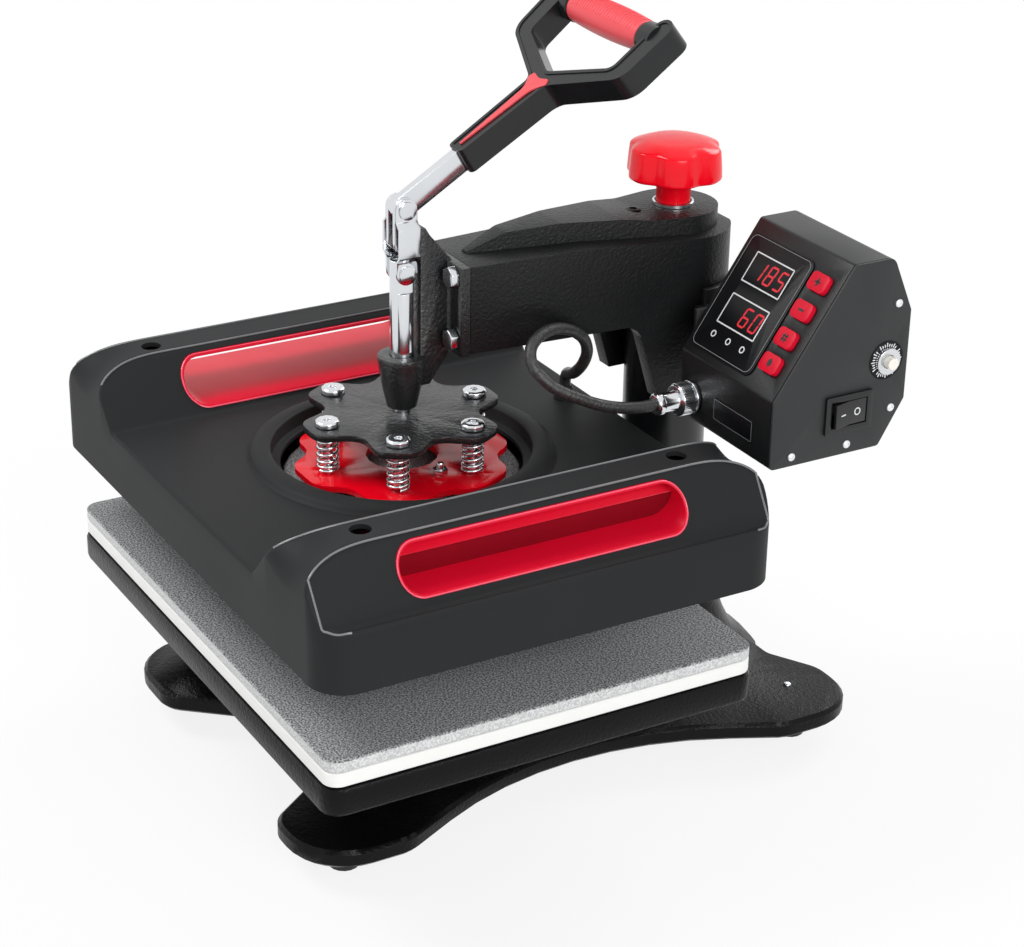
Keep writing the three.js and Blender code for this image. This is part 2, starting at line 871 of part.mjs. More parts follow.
groups.arm.add(piece("arm_housing", armHousing(), ...finish.castBlack));
boltPlaces.forEach(([x, z], i) => {
  const head = hexagon(bracketBolt.across, gap, bracketBolt.height);
  const shank = disc(bracketBolt.shank, -bracketBolt.grip, gap + weld, roundSteps.small);
  const mesh = piece("bracket_bolt_" + (i + 1), joined(head, shank), ...finish.chrome);
  mesh.rotation.x = Math.PI / 2;
  mesh.position.set(x, flangeFront, z);
  groups.arm.add(mesh);
});

// The head bracket: a flange bolted to the arm, a web, the nose that holds the toggle's
// fixed pin, and the guide sleeve that the spindle slides in
function headBracket() {
  const back = arm.front - gap;
  const flange = block(
    -bracket.halfWidth, bracket.halfWidth,
    back - bracket.flange, back,
    bracket.bottom, bracket.top,
  );
  const web = slabAlongX([
    [bracket.webFront, bracket.webFoot, 0],
    [bracket.chamferY, bracket.webFoot, 0],
    [back - bracket.flange / 2, bracket.bottom, 0],
    [back - bracket.flange / 2, bracket.top, 0],
    [bracket.chamferY, bracket.chamferZ, 0],
    [bracket.chamferY - overrun, bracket.webTop, 0],
    [bracket.webFront, bracket.webTop, 0],
  ], -bracket.webHalf, bracket.webHalf);
  const nose = belt(
    0, toggle.pivot, toggle.plateEnd,
    bracket.webFront + toggle.plateEnd / 2, toggle.pivot, toggle.plateEnd / 2,
    -toggle.nose, toggle.nose,
  );
  const pinReach = toggle.nose + toggle.plate + 2 * gap;
  const pin = alongX(disc(toggle.pin, -pinReach - toggle.headThickness, pinReach + toggle.headThickness));
  const heads = [-1, 1].map((side) => {
    const ends = [side * pinReach, side * (pinReach + toggle.headThickness)].sort((a, b) => a - b);
    return alongX(disc(toggle.pinHead, ...ends)).translate(0, 0, toggle.pivot);
  });
  const guide = turned([
    [spindle.radius + gap, bracket.guideBottom],
    [bracket.guideBottomRadius, bracket.guideBottom],
    [bracket.guideMiddleRadius, bracket.guideMiddle],
    [bracket.guideTopRadius, bracket.guideTop - overrun],
    [bracket.guideTopRadius - gap, bracket.guideTop],
    [spindle.radius + gap, bracket.guideTop],
    [spindle.radius + gap, bracket.guideBottom],
  ], roundSteps.large);
  const body = joined(flange, web, nose, pin.translate(0, 0, toggle.pivot), ...heads, guide);
  return drilled(body, flangeFront - overrun, arm.front + overrun);
}
groups.arm.add(piece("head_bracket", headBracket(), ...finish.castBlack));

// The pressure knob above the column: a scalloped grip on a round neck
function knobShape() {
  const spread = 6 * knob.lobes;
  const scallops = new THREE.Shape();
  for (let i = 0; i < spread; i += 1) {
    const angle = (2 * Math.PI * i) / spread;
    const phase = knob.lobes * (angle - knob.lobeTurn);
    const dip = knob.scallop * (0.5 - 0.5 * Math.cos(phase)) ** 2;
    const reach = knob.radius - dip;
    const x = reach * Math.cos(angle);
    const y = reach * Math.sin(angle);
    if (i === 0) scallops.moveTo(x, y);
    else scallops.lineTo(x, y);
  }
  scallops.closePath();
  const tall = { depth: knobTop - knobBottom, bevelEnabled: false };
  const prism = solid(new THREE.ExtrudeGeometry(scallops, tall).translate(0, 0, knobBottom));
  const bell = turned([
    [0, knobBottom],
    [knob.shoulder - knob.scallop, knobBottom],
    [knob.radius, knobBottom + knob.chamfer],
    [knob.shoulder, knobTop - knob.domeDrop],
    [(knob.shoulder + knob.crown) / 2, knobTop - knob.domeDrop / 3],
    [knob.crown / 2, knobTop - knob.domeDrop / 20],
    [0, knobTop],
  ], roundSteps.large);
  const neckBottom = armRoof + washer.height + gap;
  return prism.intersect(solid(bell)).add(solid(disc(knob.neck, neckBottom, knobBottom + overrun)));
}
groups.knob.add(piece("pressure_knob", knobShape(), ...finish.red));
groups.knob.position.y = axes.column;

// The spindle: a rod with a flattened head for the links, and a neck and nut for the star plate
function spindleShape() {
  const headTop = rodPin + spindle.flatAbove;
  const rod = turned([
    [0, spindle.bottom],
    [spindle.neckRadius, spindle.bottom],
    [spindle.neckRadius, spindle.neckTop],
    [spindle.radius, spindle.neckTop + (spindle.radius - spindle.neckRadius)],
    [spindle.radius, headTop - gap],
    [spindle.radius - gap, headTop],
    [0, headTop],
  ], roundSteps.large);
  const nut = hexagon(spindle.nutAcross, spindle.bottom, starPlate.bottom - gap);
  let shape = joined(rod, nut);
  for (const side of [-1, 1]) {
    const ends = [side * spindle.flat, side * (spindle.radius + overrun)].sort((a, b) => a - b);
    const span = spindle.radius + overrun;
    const cut = block(...ends, -span, span, rodPin - spindle.flatBelow, headTop + overrun);
    shape = shape.subtract(solid(cut));
  }
  return shape;
}
groups.head.add(piece("spindle_rod", spindleShape(), ...finish.chrome));

// Where the six bolts stand
const boltAngles = Array.from({ length: bolts.count }, (_, i) => {
  return bolts.firstAngle + (2 * Math.PI * i) / bolts.count;
});

// A plate with six round lobes, drawn round its axis
function lobed(reach, waist, lobeRadius, low, high) {
  const corners = boltAngles.flatMap((angle) => {
    const lobe = reach;
    const half = Math.PI / bolts.count;
    const spread = lobeRadius / reach;
    return [
      [lobe * Math.cos(angle - spread) / Math.cos(spread), lobe * Math.sin(angle - spread) / Math.cos(spread)],
      [lobe * Math.cos(angle + spread) / Math.cos(spread), lobe * Math.sin(angle + spread) / Math.cos(spread)],
      [waist * Math.cos(angle + half), waist * Math.sin(angle + half)],
    ].map(([x, y], i) => [x, y, i === 2 ? lobeRadius : lobeRadius * 0.9]);
  });
  return slab(corners, low, high);
}

function ringOfSix(make) {
  return boltAngles.map((angle, i) => {
    const x = bolts.circle * Math.cos(angle);
    const y = bolts.circle * Math.sin(angle);
    return make(x, y, i);
  });
}

// The star plate, which the nut holds up and the bolts slide through
let starBody = solid(
  lobed(starPlate.lobeReach, starPlate.waist, starPlate.lobeRadius, starPlate.bottom, starTop),
);
ringOfSix((x, y) => {
  const hole = disc(bolts.shank + gap, starPlate.bottom - overrun, starTop + overrun, roundSteps.small);
  starBody = starBody.subtract(solid(hole.translate(x, y, 0)));
});
const neckHole = disc(spindle.neckRadius + gap, starPlate.bottom - overrun, starTop + overrun);
starBody = starBody.subtract(solid(neckHole));
groups.head.add(piece("star_plate", starBody, ...finish.castBlack));

// The red plate, on six short bosses that the bolts screw into
const bossBottom = well.top + gap;
let redBody = solid(
  lobed(redPlate.lobeReach, redPlate.waist, redPlate.lobeRadius, redPlate.bottom, redTop),
);
redBody = redBody.subtract(solid(disc(redPlate.hole, redPlate.bottom - overrun, redTop + overrun)));
ringOfSix((x, y) => {
  const boss = disc(redPlate.boss, bossBottom, redPlate.bottom + overrun / 2, roundSteps.small);
  redBody = redBody.add(solid(boss.translate(x, y, 0)));
});
ringOfSix((x, y) => {
  const hole = disc(bolts.shank + gap, redTop - bolts.grip, redTop + overrun, roundSteps.small);
  redBody = redBody.subtract(solid(hole.translate(x, y, 0)));
});
groups.platen.add(piece("red_plate", redBody, ...finish.redPaint));

// Six bolts with cheese heads
ringOfSix((x, y, i) => {
  const shape = turned([
    [0, redTop - bolts.grip + gap],
    [bolts.shank, redTop - bolts.grip + gap],
    [bolts.shank, starTop + gap],
    [bolts.head, starTop + gap],
    [bolts.head, starTop + bolts.headHeight - bolts.crown],
    [bolts.head - bolts.crown, starTop + bolts.headHeight],
    [0, starTop + bolts.headHeight],
  ], roundSteps.small);
  groups.platen.add(piece("plate_bolt_" + (i + 1), shape.translate(x, y, 0), ...finish.chrome));
});

// A compression spring: one wire wound round a bolt, its ends standing square on the plates
function springPath() {
  const low = redTop + gap;
  const high = starPlate.bottom - gap;
  const coilLow = low + spring.wire;
  const coilHigh = high - spring.wire;
  const count = spring.curls * spring.steps;
  const points = [new THREE.Vector3(spring.mean, 0, low)];
  for (let i = 0; i <= count; i += 1) {
    const angle = (2 * Math.PI * i) / spring.steps;
    const height = coilLow + ((coilHigh - coilLow) * i) / count;
    const x = spring.mean * Math.cos(angle);
    points.push(new THREE.Vector3(x, spring.mean * Math.sin(angle), height));
  }
  const last = points[points.length - 1];
  points.push(new THREE.Vector3(last.x, last.y, high));
  return points;
}

// A tube round a line of points, with a ring of sides at each and a flat cap on each end
function wireTube(points, radius, sides) {
  const rings = points.map((point, i) => {
    const before = points[Math.max(i - 1, 0)];
    const after = points[Math.min(i + 1, points.length - 1)];
    const upright = i === 0 || i === points.length - 1;
    const along = upright ? new THREE.Vector3(0, 0, 1) : after.clone().sub(before).normalize();
    const outward = new THREE.Vector3(point.x, point.y, 0).normalize();
    outward.addScaledVector(along, -outward.dot(along)).normalize();
    const across = along.clone().cross(outward);
    return Array.from({ length: sides }, (_, k) => {
      const angle = (2 * Math.PI * k) / sides;
      const offset = outward.clone().multiplyScalar(radius * Math.cos(angle));
      return point.clone().add(offset.addScaledVector(across, radius * Math.sin(angle)));
    });
  });
  const vertices = rings.flat().flatMap((v) => [v.x, v.y, v.z]);
  const faces = [];
  for (let i = 0; i + 1 < rings.length; i += 1) {
    for (let k = 0; k < sides; k += 1) {
      const a = i * sides + k;
      const b = i * sides + ((k + 1) % sides);
      faces.push(a, b, b + sides, a, b + sides, a + sides);
    }
  }
  const top = (rings.length - 1) * sides;
  for (let k = 1; k + 1 < sides; k += 1) {
    faces.push(0, k + 1, k);
    faces.push(top, top + k, top + k + 1);
  }
  const geometry = new THREE.BufferGeometry();
  geometry.setAttribute("position", new THREE.Float32BufferAttribute(vertices, 3));
  geometry.setIndex(faces);
  geometry.computeVertexNormals();
  return geometry;
}

const springPoints = springPath();
let springGap = Infinity;
springPoints.forEach((point, i) => {
  springPoints.slice(i + spring.steps / 2).forEach((other) => {
    springGap = Math.min(springGap, point.distanceTo(other) - spring.wire);
  });
});
console.log("least gap of a spring's wire to itself:", springGap.toFixed(2), "mm");
ringOfSix((x, y, i) => {
  const shape = wireTube(springPoints, spring.wire / 2, spring.sides).rotateZ(boltAngles[i]);
  groups.head.add(piece("spring_" + (i + 1), shape.translate(x, y, 0), ...finish.chrome));
});

// The heated platen and the pan that covers its terminals
const platenCorners = pressRectangle(platen.corner);
const platenShape = softSlab(platenCorners, platenBottom, platenTop, platen.edgeRound);
groups.platen.add(piece("heater_platen", platenShape, ...finish.aluminium));
const wellShape = turned([
  [well.radius - well.wall, platenTop + gap],
  [well.radius, platenTop + gap],
  [well.radius, well.top - collar.softening],
  [well.radius - collar.softening, well.top],
  [0, well.top],
  [0, well.top - well.skin],
  [well.radius - well.wall, well.top - well.skin],
  [well.radius - well.wall, platenTop + gap],
], roundSteps.large);
groups.platen.add(piece("terminal_pan", wellShape, ...finish.speckled));

// The ridge that becomes an arch handle: its section across, and its height along the cover
function ridgeSection(inset) {
  const foot = coverTop - ridge.footSink;
  const corners = [
    [ridgeInner, coverTop, 0],
    [ridgeInner, foot, 0],
    [ridgeOuter, foot, 0],
    [ridgeOuter, coverTop, 0],
    [overRidge(ridge.outerCrest), ridgeTop, ridge.crestRound],
    [overRidge(ridge.innerCrest), ridgeTop, ridge.crestRound],
  ];
  const shape = inset === 0 ? corners : drawnIn(corners, inset);
  if (inset > 0) {
    shape[1][1] = foot - overrun;
    shape[2][1] = foot - overrun;
  }
  return shape;
}

function ridgeProfile(inset) {
  const foot = coverTop - ridge.footSink - (inset > 0 ? overrun : 0);
  const reach = cover.halfDepth - inset;
  const straight = cover.halfDepth - ridge.endLength;
  const top = ridgeTop - inset;
  const corners = [[-reach, foot, 0], [reach, foot, 0]];
  const end = Array.from({ length: ridge.endSteps + 1 }, (_, i) => {
    const angle = (Math.PI * i) / (2 * ridge.endSteps);
    const y = straight + (reach - straight) * Math.cos(angle);
    return [y, coverTop + (top - coverTop) * Math.sin(angle), 0];
  });
  const far = end.map(([y, z]) => [-y, z, 0]).reverse();
  return [...corners, ...end, ...far];
}

function ridgeSolid(inset, side) {
  const across = ridgeSection(inset).map(([x, z, round]) => [side * x, z, round]);
  if (side < 0) across.reverse();
  const span = cover.halfDepth;
  const section = solid(slabAlongY(across, -span, span));
  const xs = [side * (ridgeInner - overrun), side * (ridgeOuter + overrun)];
  xs.sort((a, b) => a - b);
  return section.intersect(solid(slabAlongX(ridgeProfile(inset), ...xs)));
}

// The finger slot through a ridge, grown by a distance, between two places across the cover
function slotPrism(growth, halfLength, x0, x1) {
  const low = coverTop + slot.lowGap - growth;
  const high = coverTop + slot.highGap + growth;
  const half = halfLength + growth;
  return slabAlongX(rectangle(-half, half, low, high, slot.endRound + growth), x0, x1, 3);
}

// The moulded cover: a shell with two arch handles, a collar round the well and four screw posts
function headCover() {
  const x = cover.halfWidth;
  const y = cover.halfDepth;
  const rim = rectangle(-x, x, -y, y, cover.corner);
  const tall = softSlab(rim, coverBottom - cover.wallHeight, coverTop, cover.edgeRound, 3);
  const band = block(-x, x, -y, y, coverBottom, ridgeTop + overrun);
  const fence = solid(slab(rim, coverBottom, ridgeTop + overrun, 3));
  let body = solid(tall).intersect(solid(band));
  body = body.add(ridgeSolid(0, 1)).add(ridgeSolid(0, -1)).intersect(fence);
  const inner = drawnIn(rim, cover.wall);
  let hollow = solid(slab(inner, coverBottom - overrun, coverTop - cover.wall, 3));
  hollow = hollow.add(ridgeSolid(cover.wall, 1)).add(ridgeSolid(cover.wall, -1));
  hollow = hollow.intersect(solid(slab(inner, coverBottom - overrun, ridgeTop, 3)));
  body = body.subtract(hollow);
  body = body.subtract(solid(disc(collar.crestInner, coverTop - overrun - cover.wall, coverTop + overrun, roundSteps.large)));
  const stepTop = coverTop - collar.stepDrop;
  const collarRing = turned([
    [collar.step, stepTop - collar.lip],
    [collar.inner + collar.lip, stepTop - collar.lip],
    [collar.inner + collar.lip, coverTop - cover.wall + weld],
    [collar.outer - collar.lip, coverTop - cover.wall + weld],
    [collar.outer, coverTop],
    [collar.crestOuter, coverTop + collar.rise - collar.softening],
    [collar.crestInner + collar.softening, coverTop + collar.rise],
    [collar.crestInner, coverTop + collar.rise],
    [collar.inner, coverTop + collar.rise - collar.softening],
    [collar.inner, stepTop],
    [collar.step, stepTop],
    [collar.step, stepTop - collar.lip],
  ], roundSteps.large);
  body = body.add(solid(collarRing));
  const cupFloor = ridgeTop - post.cupDepth;
  const cuts = [];
  for (const sx of [-1, 1]) {
    for (const sy of [-1, 1]) {
      const px = sx * postPlace.x;
      const py = sy * postPlace.y;
      const cup = disc(post.cup, cupFloor - post.floor, ridgeTop - cover.wall / 2, roundSteps.small);
      const stem = disc(post.radius, platenTop + gap, cupFloor, roundSteps.small);
      body = body.add(solid(cup.translate(px, py, 0))).add(solid(stem.translate(px, py, 0)));
      cuts.push(disc(post.hole, cupFloor, ridgeTop + overrun, roundSteps.small).translate(px, py, 0));
      cuts.push(disc(post.screw, platenTop - overrun, cupFloor + overrun, roundSteps.small).translate(px, py, 0));
    }
  }
  const outside = [ridgeInner - overrun, ridgeOuter + overrun];
  cuts.push(slotPrism(gap, slot.halfLength, ...outside));
  cuts.push(slotPrism(gap, slot.halfLength, -outside[1], -outside[0]));
  const glandRing = disc(gland.radius, coverTop - cover.wall, coverTop + gland.rise, roundSteps.medium);
  body = body.add(solid(glandRing.translate(gland.x, gland.y, 0)));
  const glandHole = disc(lead.radius + 2 * gap, coverTop - overrun - cover.wall, coverTop + gland.rise + overrun);
  cuts.push(glandHole.translate(gland.x, gland.y, 0));
  return cuts.reduce((whole, cut) => whole.subtract(solid(cut)), body);
}
groups.platen.add(piece("head_cover", headCover(), ...finish.coverBlack));

// The red liner of a finger slot: a lining of both openings, and the trough between them
function troughSection(grown) {
  const t = grown ? trough.wall : 0;
  const top = coverTop + trough.topRise;
  return [
    [overRidge(trough.topOuter) + (grown ? gap : -trough.wall / 2), top, 0],
    [overRidge(trough.topInner) - (grown ? gap : -trough.wall / 2), top, 0],
    [overRidge(trough.coveInner) - t, coverTop - trough.coveDrop - t / 2, t],
    [overRidge(trough.floorInner) - t / 2, coverTop - trough.floorDrop - t, t],
    [overRidge(trough.floorOuter) + t / 2, coverTop - trough.floorDrop - t, t],
  ];
}

function gripLiner(side) {
  const outside = [ridgeInner - overrun, ridgeOuter + overrun];
  const mirrored = (corners) => corners.map(([x, z, r]) => [side * x, z, r]);
  const ordered = (corners) => (side < 0 ? mirrored(corners) : mirrored(corners).reverse());
  const xs = outside.map((x) => side * x).sort((a, b) => a - b);
  const half = slot.halfLength;
  const sleeve = solid(slotPrism(0, half, ...xs));
  const trayOuter = solid(slabAlongY(ordered(troughSection(true)), -half, half));
  const trayInner = solid(slabAlongY(ordered(troughSection(false)), -half + trough.wall, half - trough.wall));
  const hole = solid(slotPrism(-slot.line, half, ...xs.map((x, i) => x + (i ? overrun : -overrun))));
  let shape = sleeve.add(trayOuter).subtract(hole.add(trayInner));
  const skin = ridgeSection(0).map(([x, z, r], i) => {
    const outward = i === 0 || i === 1 || i === 5 ? -slot.proud : slot.proud;
    return [x + outward, i === 1 || i === 2 ? z - trough.floorDrop - overrun : z, r];
  });
  skin[4][1] += slot.proud;
  skin[5][1] += slot.proud;
  const envelope = solid(slabAlongY(ordered(skin.slice().reverse()), -cover.halfDepth, cover.halfDepth));
  shape = shape.intersect(envelope);
  for (const sy of [-1, 1]) {
    const cup = disc(post.cup + gap, coverTop - cover.halfDepth, ridgeTop);
    shape = shape.subtract(solid(cup.translate(side * postPlace.x, sy * postPlace.y, 0)));
  }
  return shape;
}
groups.platen.add(piece("grip_liner_left", gripLiner(-1), ...finish.red));
groups.platen.add(piece("grip_liner_right", gripLiner(1), ...finish.red));

// The lever: two crank plates on the fixed pin, the pin that carries the links, and the flat bar
function tilted(geometry) {
  return geometry.rotateX(handle.slope).translate(0, 0, crankPin);
}

function leverBar() {
  const low = toggle.nose + gap;
  const high = low + toggle.plate;
  const cheeks = [-1, 1].map((side) => {
    const ends = [side * low, side * high].sort((a, b) => a - b);
    return belt(0, toggle.pivot, toggle.plateEnd, 0, crankPin, toggle.plateEnd, ...ends);
  });
  const eye = alongX(disc(toggle.plateEnd, -high, high)).translate(0, 0, crankPin);
  const barEnd = handle.stemStart + handle.barSocket;
  const bar = tilted(block(
    -toggle.barHalf, toggle.barHalf,
    0, barEnd,
    -toggle.barWidth / 2, toggle.barWidth / 2,
  ));
  const reach = high + toggle.linkThickness + 2 * gap;
  const ends = [-1, 1].map((side) => {
    const span = [side * reach, side * (reach + toggle.headThickness)].sort((a, b) => a - b);
    return alongX(disc(toggle.pinHead, ...span)).translate(0, 0, crankPin);
  });
  const pin = alongX(disc(toggle.pin, -reach - gap, reach + gap)).translate(0, 0, crankPin);
  const body = joined(...cheeks, eye, bar, pin, ...ends);
  const hole = alongX(disc(toggle.pin + gap, -high - overrun, high + overrun));
  return body.subtract(solid(hole.translate(0, 0, toggle.pivot)));
}
groups.lever.add(piece("lever_bar", leverBar(), ...finish.chrome));

// Turns what lies past the stem up, away from the stem's line
function bentUp(geometry) {
  return geometry
    .translate(0, -handle.bendStart, 0)
    .rotateX(handle.bend)
    .translate(0, handle.bendStart, 0);
}

// A form of the handle with its near part along the stem and its far part bent up
function alongHandle(make) {
  const far = handle.end + overrun;
  const seam = handle.bendStart;
  const near = solid(tilted(block(-far, far, 0, seam, -far, far)));
  const beyond = solid(tilted(bentUp(block(-far, far, seam - overrun / 2, far, -far, far))));
  const stem = solid(tilted(make())).intersect(near);
  return stem.add(solid(tilted(bentUp(make()))).intersect(beyond));
}

function dHandle() {
  const half = [
    [handle.stemHalf, handle.stemStart, handle.stemCorner],
    [handle.forkHalf, handle.fork, handle.stemHalf],
    [handle.outerHalf, handle.shoulder, handle.stemHalf * 2],
    [handle.outerHalf, handle.end, handle.forkHalf - 1],
    [handle.innerHalf, handle.end, handle.forkHalf - 1],
    [handle.innerHalf, handle.innerShoulder, handle.forkHalf],
    [0, handle.forkInside, handle.stemHalf],
  ];
  const left = half.slice(0, -1).map(([x, s, r]) => [-x, s, r]).reverse();
  const rim = [...half, ...left];
  const deep = handle.thickness / 2;
  let body = alongHandle(() => softSlab(rim, -deep, deep, handle.edgeRound));
  const reach = handle.innerHalf + overrun;
  for (const side of [-1, 1]) {
    const ends = [side * (grip.halfLength + gap), side * reach].sort((a, b) => a - b);
    const hub = alongX(disc(grip.hub - gap, ...ends)).translate(0, grip.place, 0);
    body = body.add(solid(tilted(bentUp(hub))));
  }
  const core = alongX(disc(grip.core, -reach, reach)).translate(0, grip.place, 0);
  body = body.add(solid(tilted(bentUp(core))));
  const socketHole = tilted(block(
    -toggle.barHalf - gap, toggle.barHalf + gap,
    handle.stemStart - overrun, handle.stemStart + handle.barSocket + gap,
    -toggle.barWidth / 2 - gap, toggle.barWidth / 2 + gap,
  ));
  return body.subtract(solid(socketHole));
}
groups.lever.add(piece("d_handle", dHandle(), ...finish.handleBlack));

// The soft grip between the handle's arms, barrel-shaped with moulded rings
function gripShape() {
  const rings = 6;
  const profile = [[grip.core + gap, -grip.halfLength]];
  for (let i = 0; i <= 2 * rings; i += 1) {
    const along = -1 + i / rings;
    const belly = grip.endRadius + (grip.radius - grip.endRadius) * (1 - along * along);
    const groove = i % 2 === 1 ? gap : 0;
    profile.push([belly - groove, along * grip.halfLength]);
  }
  profile.push([grip.core + gap, grip.halfLength], profile[0]);
  return alongX(turned(profile));
}
const gripMesh = piece("hand_grip", gripShape(), ...finish.coral);
tilted(bentUp(gripMesh.geometry.translate(0, grip.place, 0)));
groups.lever.add(gripMesh);

// The inlay on the handle's stem, with a short bar across where the stem forks
const inlayHalf = [
  [inlay.tip / 2, inlay.start, 0],
  [inlay.half, inlay.neck, 0],
  [inlay.teeHalf, inlay.tee, 0],
  [inlay.teeHalf, inlay.tee + inlay.half, 0],
  [inlay.half / 2, inlay.end, 0],
];
const inlayCorners = [...inlayHalf, ...inlayHalf.map(([x, s]) => [-x, s, 0]).reverse()];
const inlayLow = handle.thickness / 2 + gap;
const inlayShape = alongHandle(() => slab(inlayCorners, inlayLow, inlayLow + inlay.thick));
groups.lever.add(piece("handle_inlay", inlayShape, ...finish.coral));

// The two links, bowed out in the middle to pass the fixed pin's heads
function linkShape(side) {
  const near = toggle.nose + toggle.plate + 2 * gap;
  const far = near + toggle.linkThickness;
  const bow = toggle.bulge;
  const low = toggle.pivot - toggle.bulgeLow;
  const high = toggle.pivot + toggle.bulgeHigh;
  const bottom = rodPin - toggle.linkWidth / 2;
  const top = crankPin + toggle.linkWidth / 2;
  const thick = toggle.linkThickness;
  const section = [
    [near, bottom],
    [far, bottom],
    [far, low - toggle.joggle],
    [bow + thick, low],
    [bow + thick, high],
    [far, high + toggle.joggle],
    [far, top],
    [near, top],
    [near, high + toggle.joggle],
    [bow, high],
    [bow, low],
    [near, low - toggle.joggle],
  ].map(([x, z]) => [side * x, z, 0]);
  if (side < 0) section.reverse();
  const half = toggle.linkWidth / 2;
  const strip = solid(slabAlongY(section, -half, half));
  const xs = [side * near, side * (bow + thick)].sort((a, b) => a - b);
  const ends = solid(belt(0, rodPin, half, 0, crankPin, half, ...xs));
  const hole = alongX(disc(toggle.pin + gap, ...xs)).translate(0, 0, crankPin);
  const headSpan = [side * (far - gap), side * (far + toggle.headThickness)].sort((a, b) => a - b);
  const rivet = alongX(disc(toggle.pinHead, ...headSpan)).translate(0, 0, rodPin);
  return strip.intersect(ends).subtract(solid(hole)).add(solid(rivet));
}
groups.links.add(piece("link_left", linkShape(-1), ...finish.chrome));
groups.links.add(piece("link_right", linkShape(1), ...finish.chrome));

// The control box: a folded sheet with its left wall, and a plate that closes the right side
const boxCorners = [
  [boxFront, box.bottom, box.bend],
  [boxRear - box.bottomInset, box.bottom, box.bend],
  [boxRear, box.rearLow, box.bend],
  [boxRear, box.rearHigh, box.bend],
  [boxRear - box.topInset, box.top, 2 * box.bend],
  [boxFront + box.slopeDepth, box.top, box.bend],
  [boxFront, box.slopeFoot, box.bend],
];
const slopeAngle = Math.atan2(box.top - box.slopeFoot, box.slopeDepth);
const plateInner = box.right - box.plate;

// Places a geometry drawn on the sloped front: x across, y up the slope, z out of it
function onSlope(geometry) {
  return geometry.rotateX(slopeAngle).translate(0, boxFront, box.slopeFoot);
}

function buttonCorners(growth, place) {
  const halfX = button.width / 2 + growth;
  const halfY = button.height / 2 + growth;
  const x = button.x;
  return rectangle(x - halfX, x + halfX, place - halfY, place + halfY, button.corner + growth);
}

function boxShell() {
  let body = solid(slabAlongX(boxCorners, box.left, plateInner - gap));
  const hollow = slabAlongX(drawnIn(boxCorners, box.sheet), box.left + box.sheet, box.right);
  body = body.subtract(solid(hollow));
  for (const place of button.places) {
    const hole = onSlope(slab(buttonCorners(gap, place), -box.sheet - overrun, overrun));
    body = body.subtract(solid(hole));
  }
  const socketHole = alongY(disc(socket.thread + gap, boxFront - overrun, boxFront + overrun));
  body = body.subtract(solid(socketHole.translate(socket.x, 0, socket.z)));
  const halfW = inlet.width / 2 - inlet.bodyMargin + gap;
  const halfH = inlet.height / 2 - inlet.bodyMargin + gap;
  const inletHole = block(
    inlet.x - halfW, inlet.x + halfW,
    boxRear - overrun, boxRear + overrun,
    inlet.z - halfH, inlet.z + halfH,
  );
  return body.subtract(solid(inletHole));
}
groups.arm.add(piece("box_shell", boxShell(), ...finish.sheetBlack));

function boxEndPlate() {
  let body = solid(slabAlongX(boxCorners, plateInner, box.right));
  const halfY = rocker.bodyLong / 2 + gap;
  const halfZ = rocker.bodyTall / 2 + gap;
  const rockerHole = block(
    plateInner - overrun, box.right + overrun,
    rockerY - halfY, rockerY + halfY,
    rocker.z - halfZ, rocker.z + halfZ,
  );
  body = body.subtract(solid(rockerHole));
  const bushHole = alongX(disc(breaker.bush + gap, plateInner - overrun, box.right + overrun));
  return body.subtract(solid(bushHole.translate(0, breakerY, breaker.z)));
}
groups.arm.add(piece("box_end_plate", boxEndPlate(), ...finish.sheetBlack));

// The display panel stuck on the slope, with the raised frames of its two windows
function displayPanel() {
  const top = gap + display.thickness;
  const face = rectangle(display.left, display.right, display.low, display.high, display.corner);
  const sheet = slab(face, gap, top);
  const windows = [display.upperLow, display.lowerLow].map((low) => {
    const corners = rectangle(
      display.windowLeft,
      display.windowRight,
      low,
      low + display.windowHeight,
      display.windowCorner,
    );
    return slab(corners, top - display.thickness / 2, top + display.frame);
  });
  return joined(...[sheet, ...windows].map(onSlope));
}
groups.arm.add(piece("display_panel", displayPanel(), ...finish.gloss));

// Four push buttons: a cap through the sheet and a lip behind it
button.places.forEach((place, i) => {
  const lipTop = -box.sheet - gap;
  const lipBottom = lipTop - button.lipThickness;
  const cap = slab(buttonCorners(0, place), lipBottom, button.proud);
  const lip = slab(buttonCorners(button.lip, place), lipBottom, lipTop);
  const shape = joined(...[cap, lip].map(onSlope));
  groups.controls.add(piece("button_" + (i + 1), shape, ...finish.red));
});

// The controller board behind the slope, on four posts, with a key under each button
function controllerBoard() {
  const top = -board.depth;
  const left = box.left + box.sheet + board.inset;
  const right = plateInner - board.inset;
  const sheet = block(left, right, board.low, board.high, top - board.thickness, top);
  const posts = [left + board.postInset, right - board.postInset].flatMap((x) => {
    return [board.low + board.postInset, board.high - board.postInset].map((s) => {
      const low = top - board.thickness / 2;
      return disc(board.post, low, -box.sheet - gap, roundSteps.small).translate(x, s, 0);
    });
  });
  const keyTop = -box.sheet - 2 * gap - button.lipThickness - button.travel;
  const keys = button.places.map((place) => {
    const half = board.key / 2;
    return block(button.x - half, button.x + half, place - half, place + half, top - weld, keyTop);
  });
  return joined(...[sheet, ...posts, ...keys].map(onSlope));
}
groups.arm.add(piece("controller_board", controllerBoard(), ...finish.board));

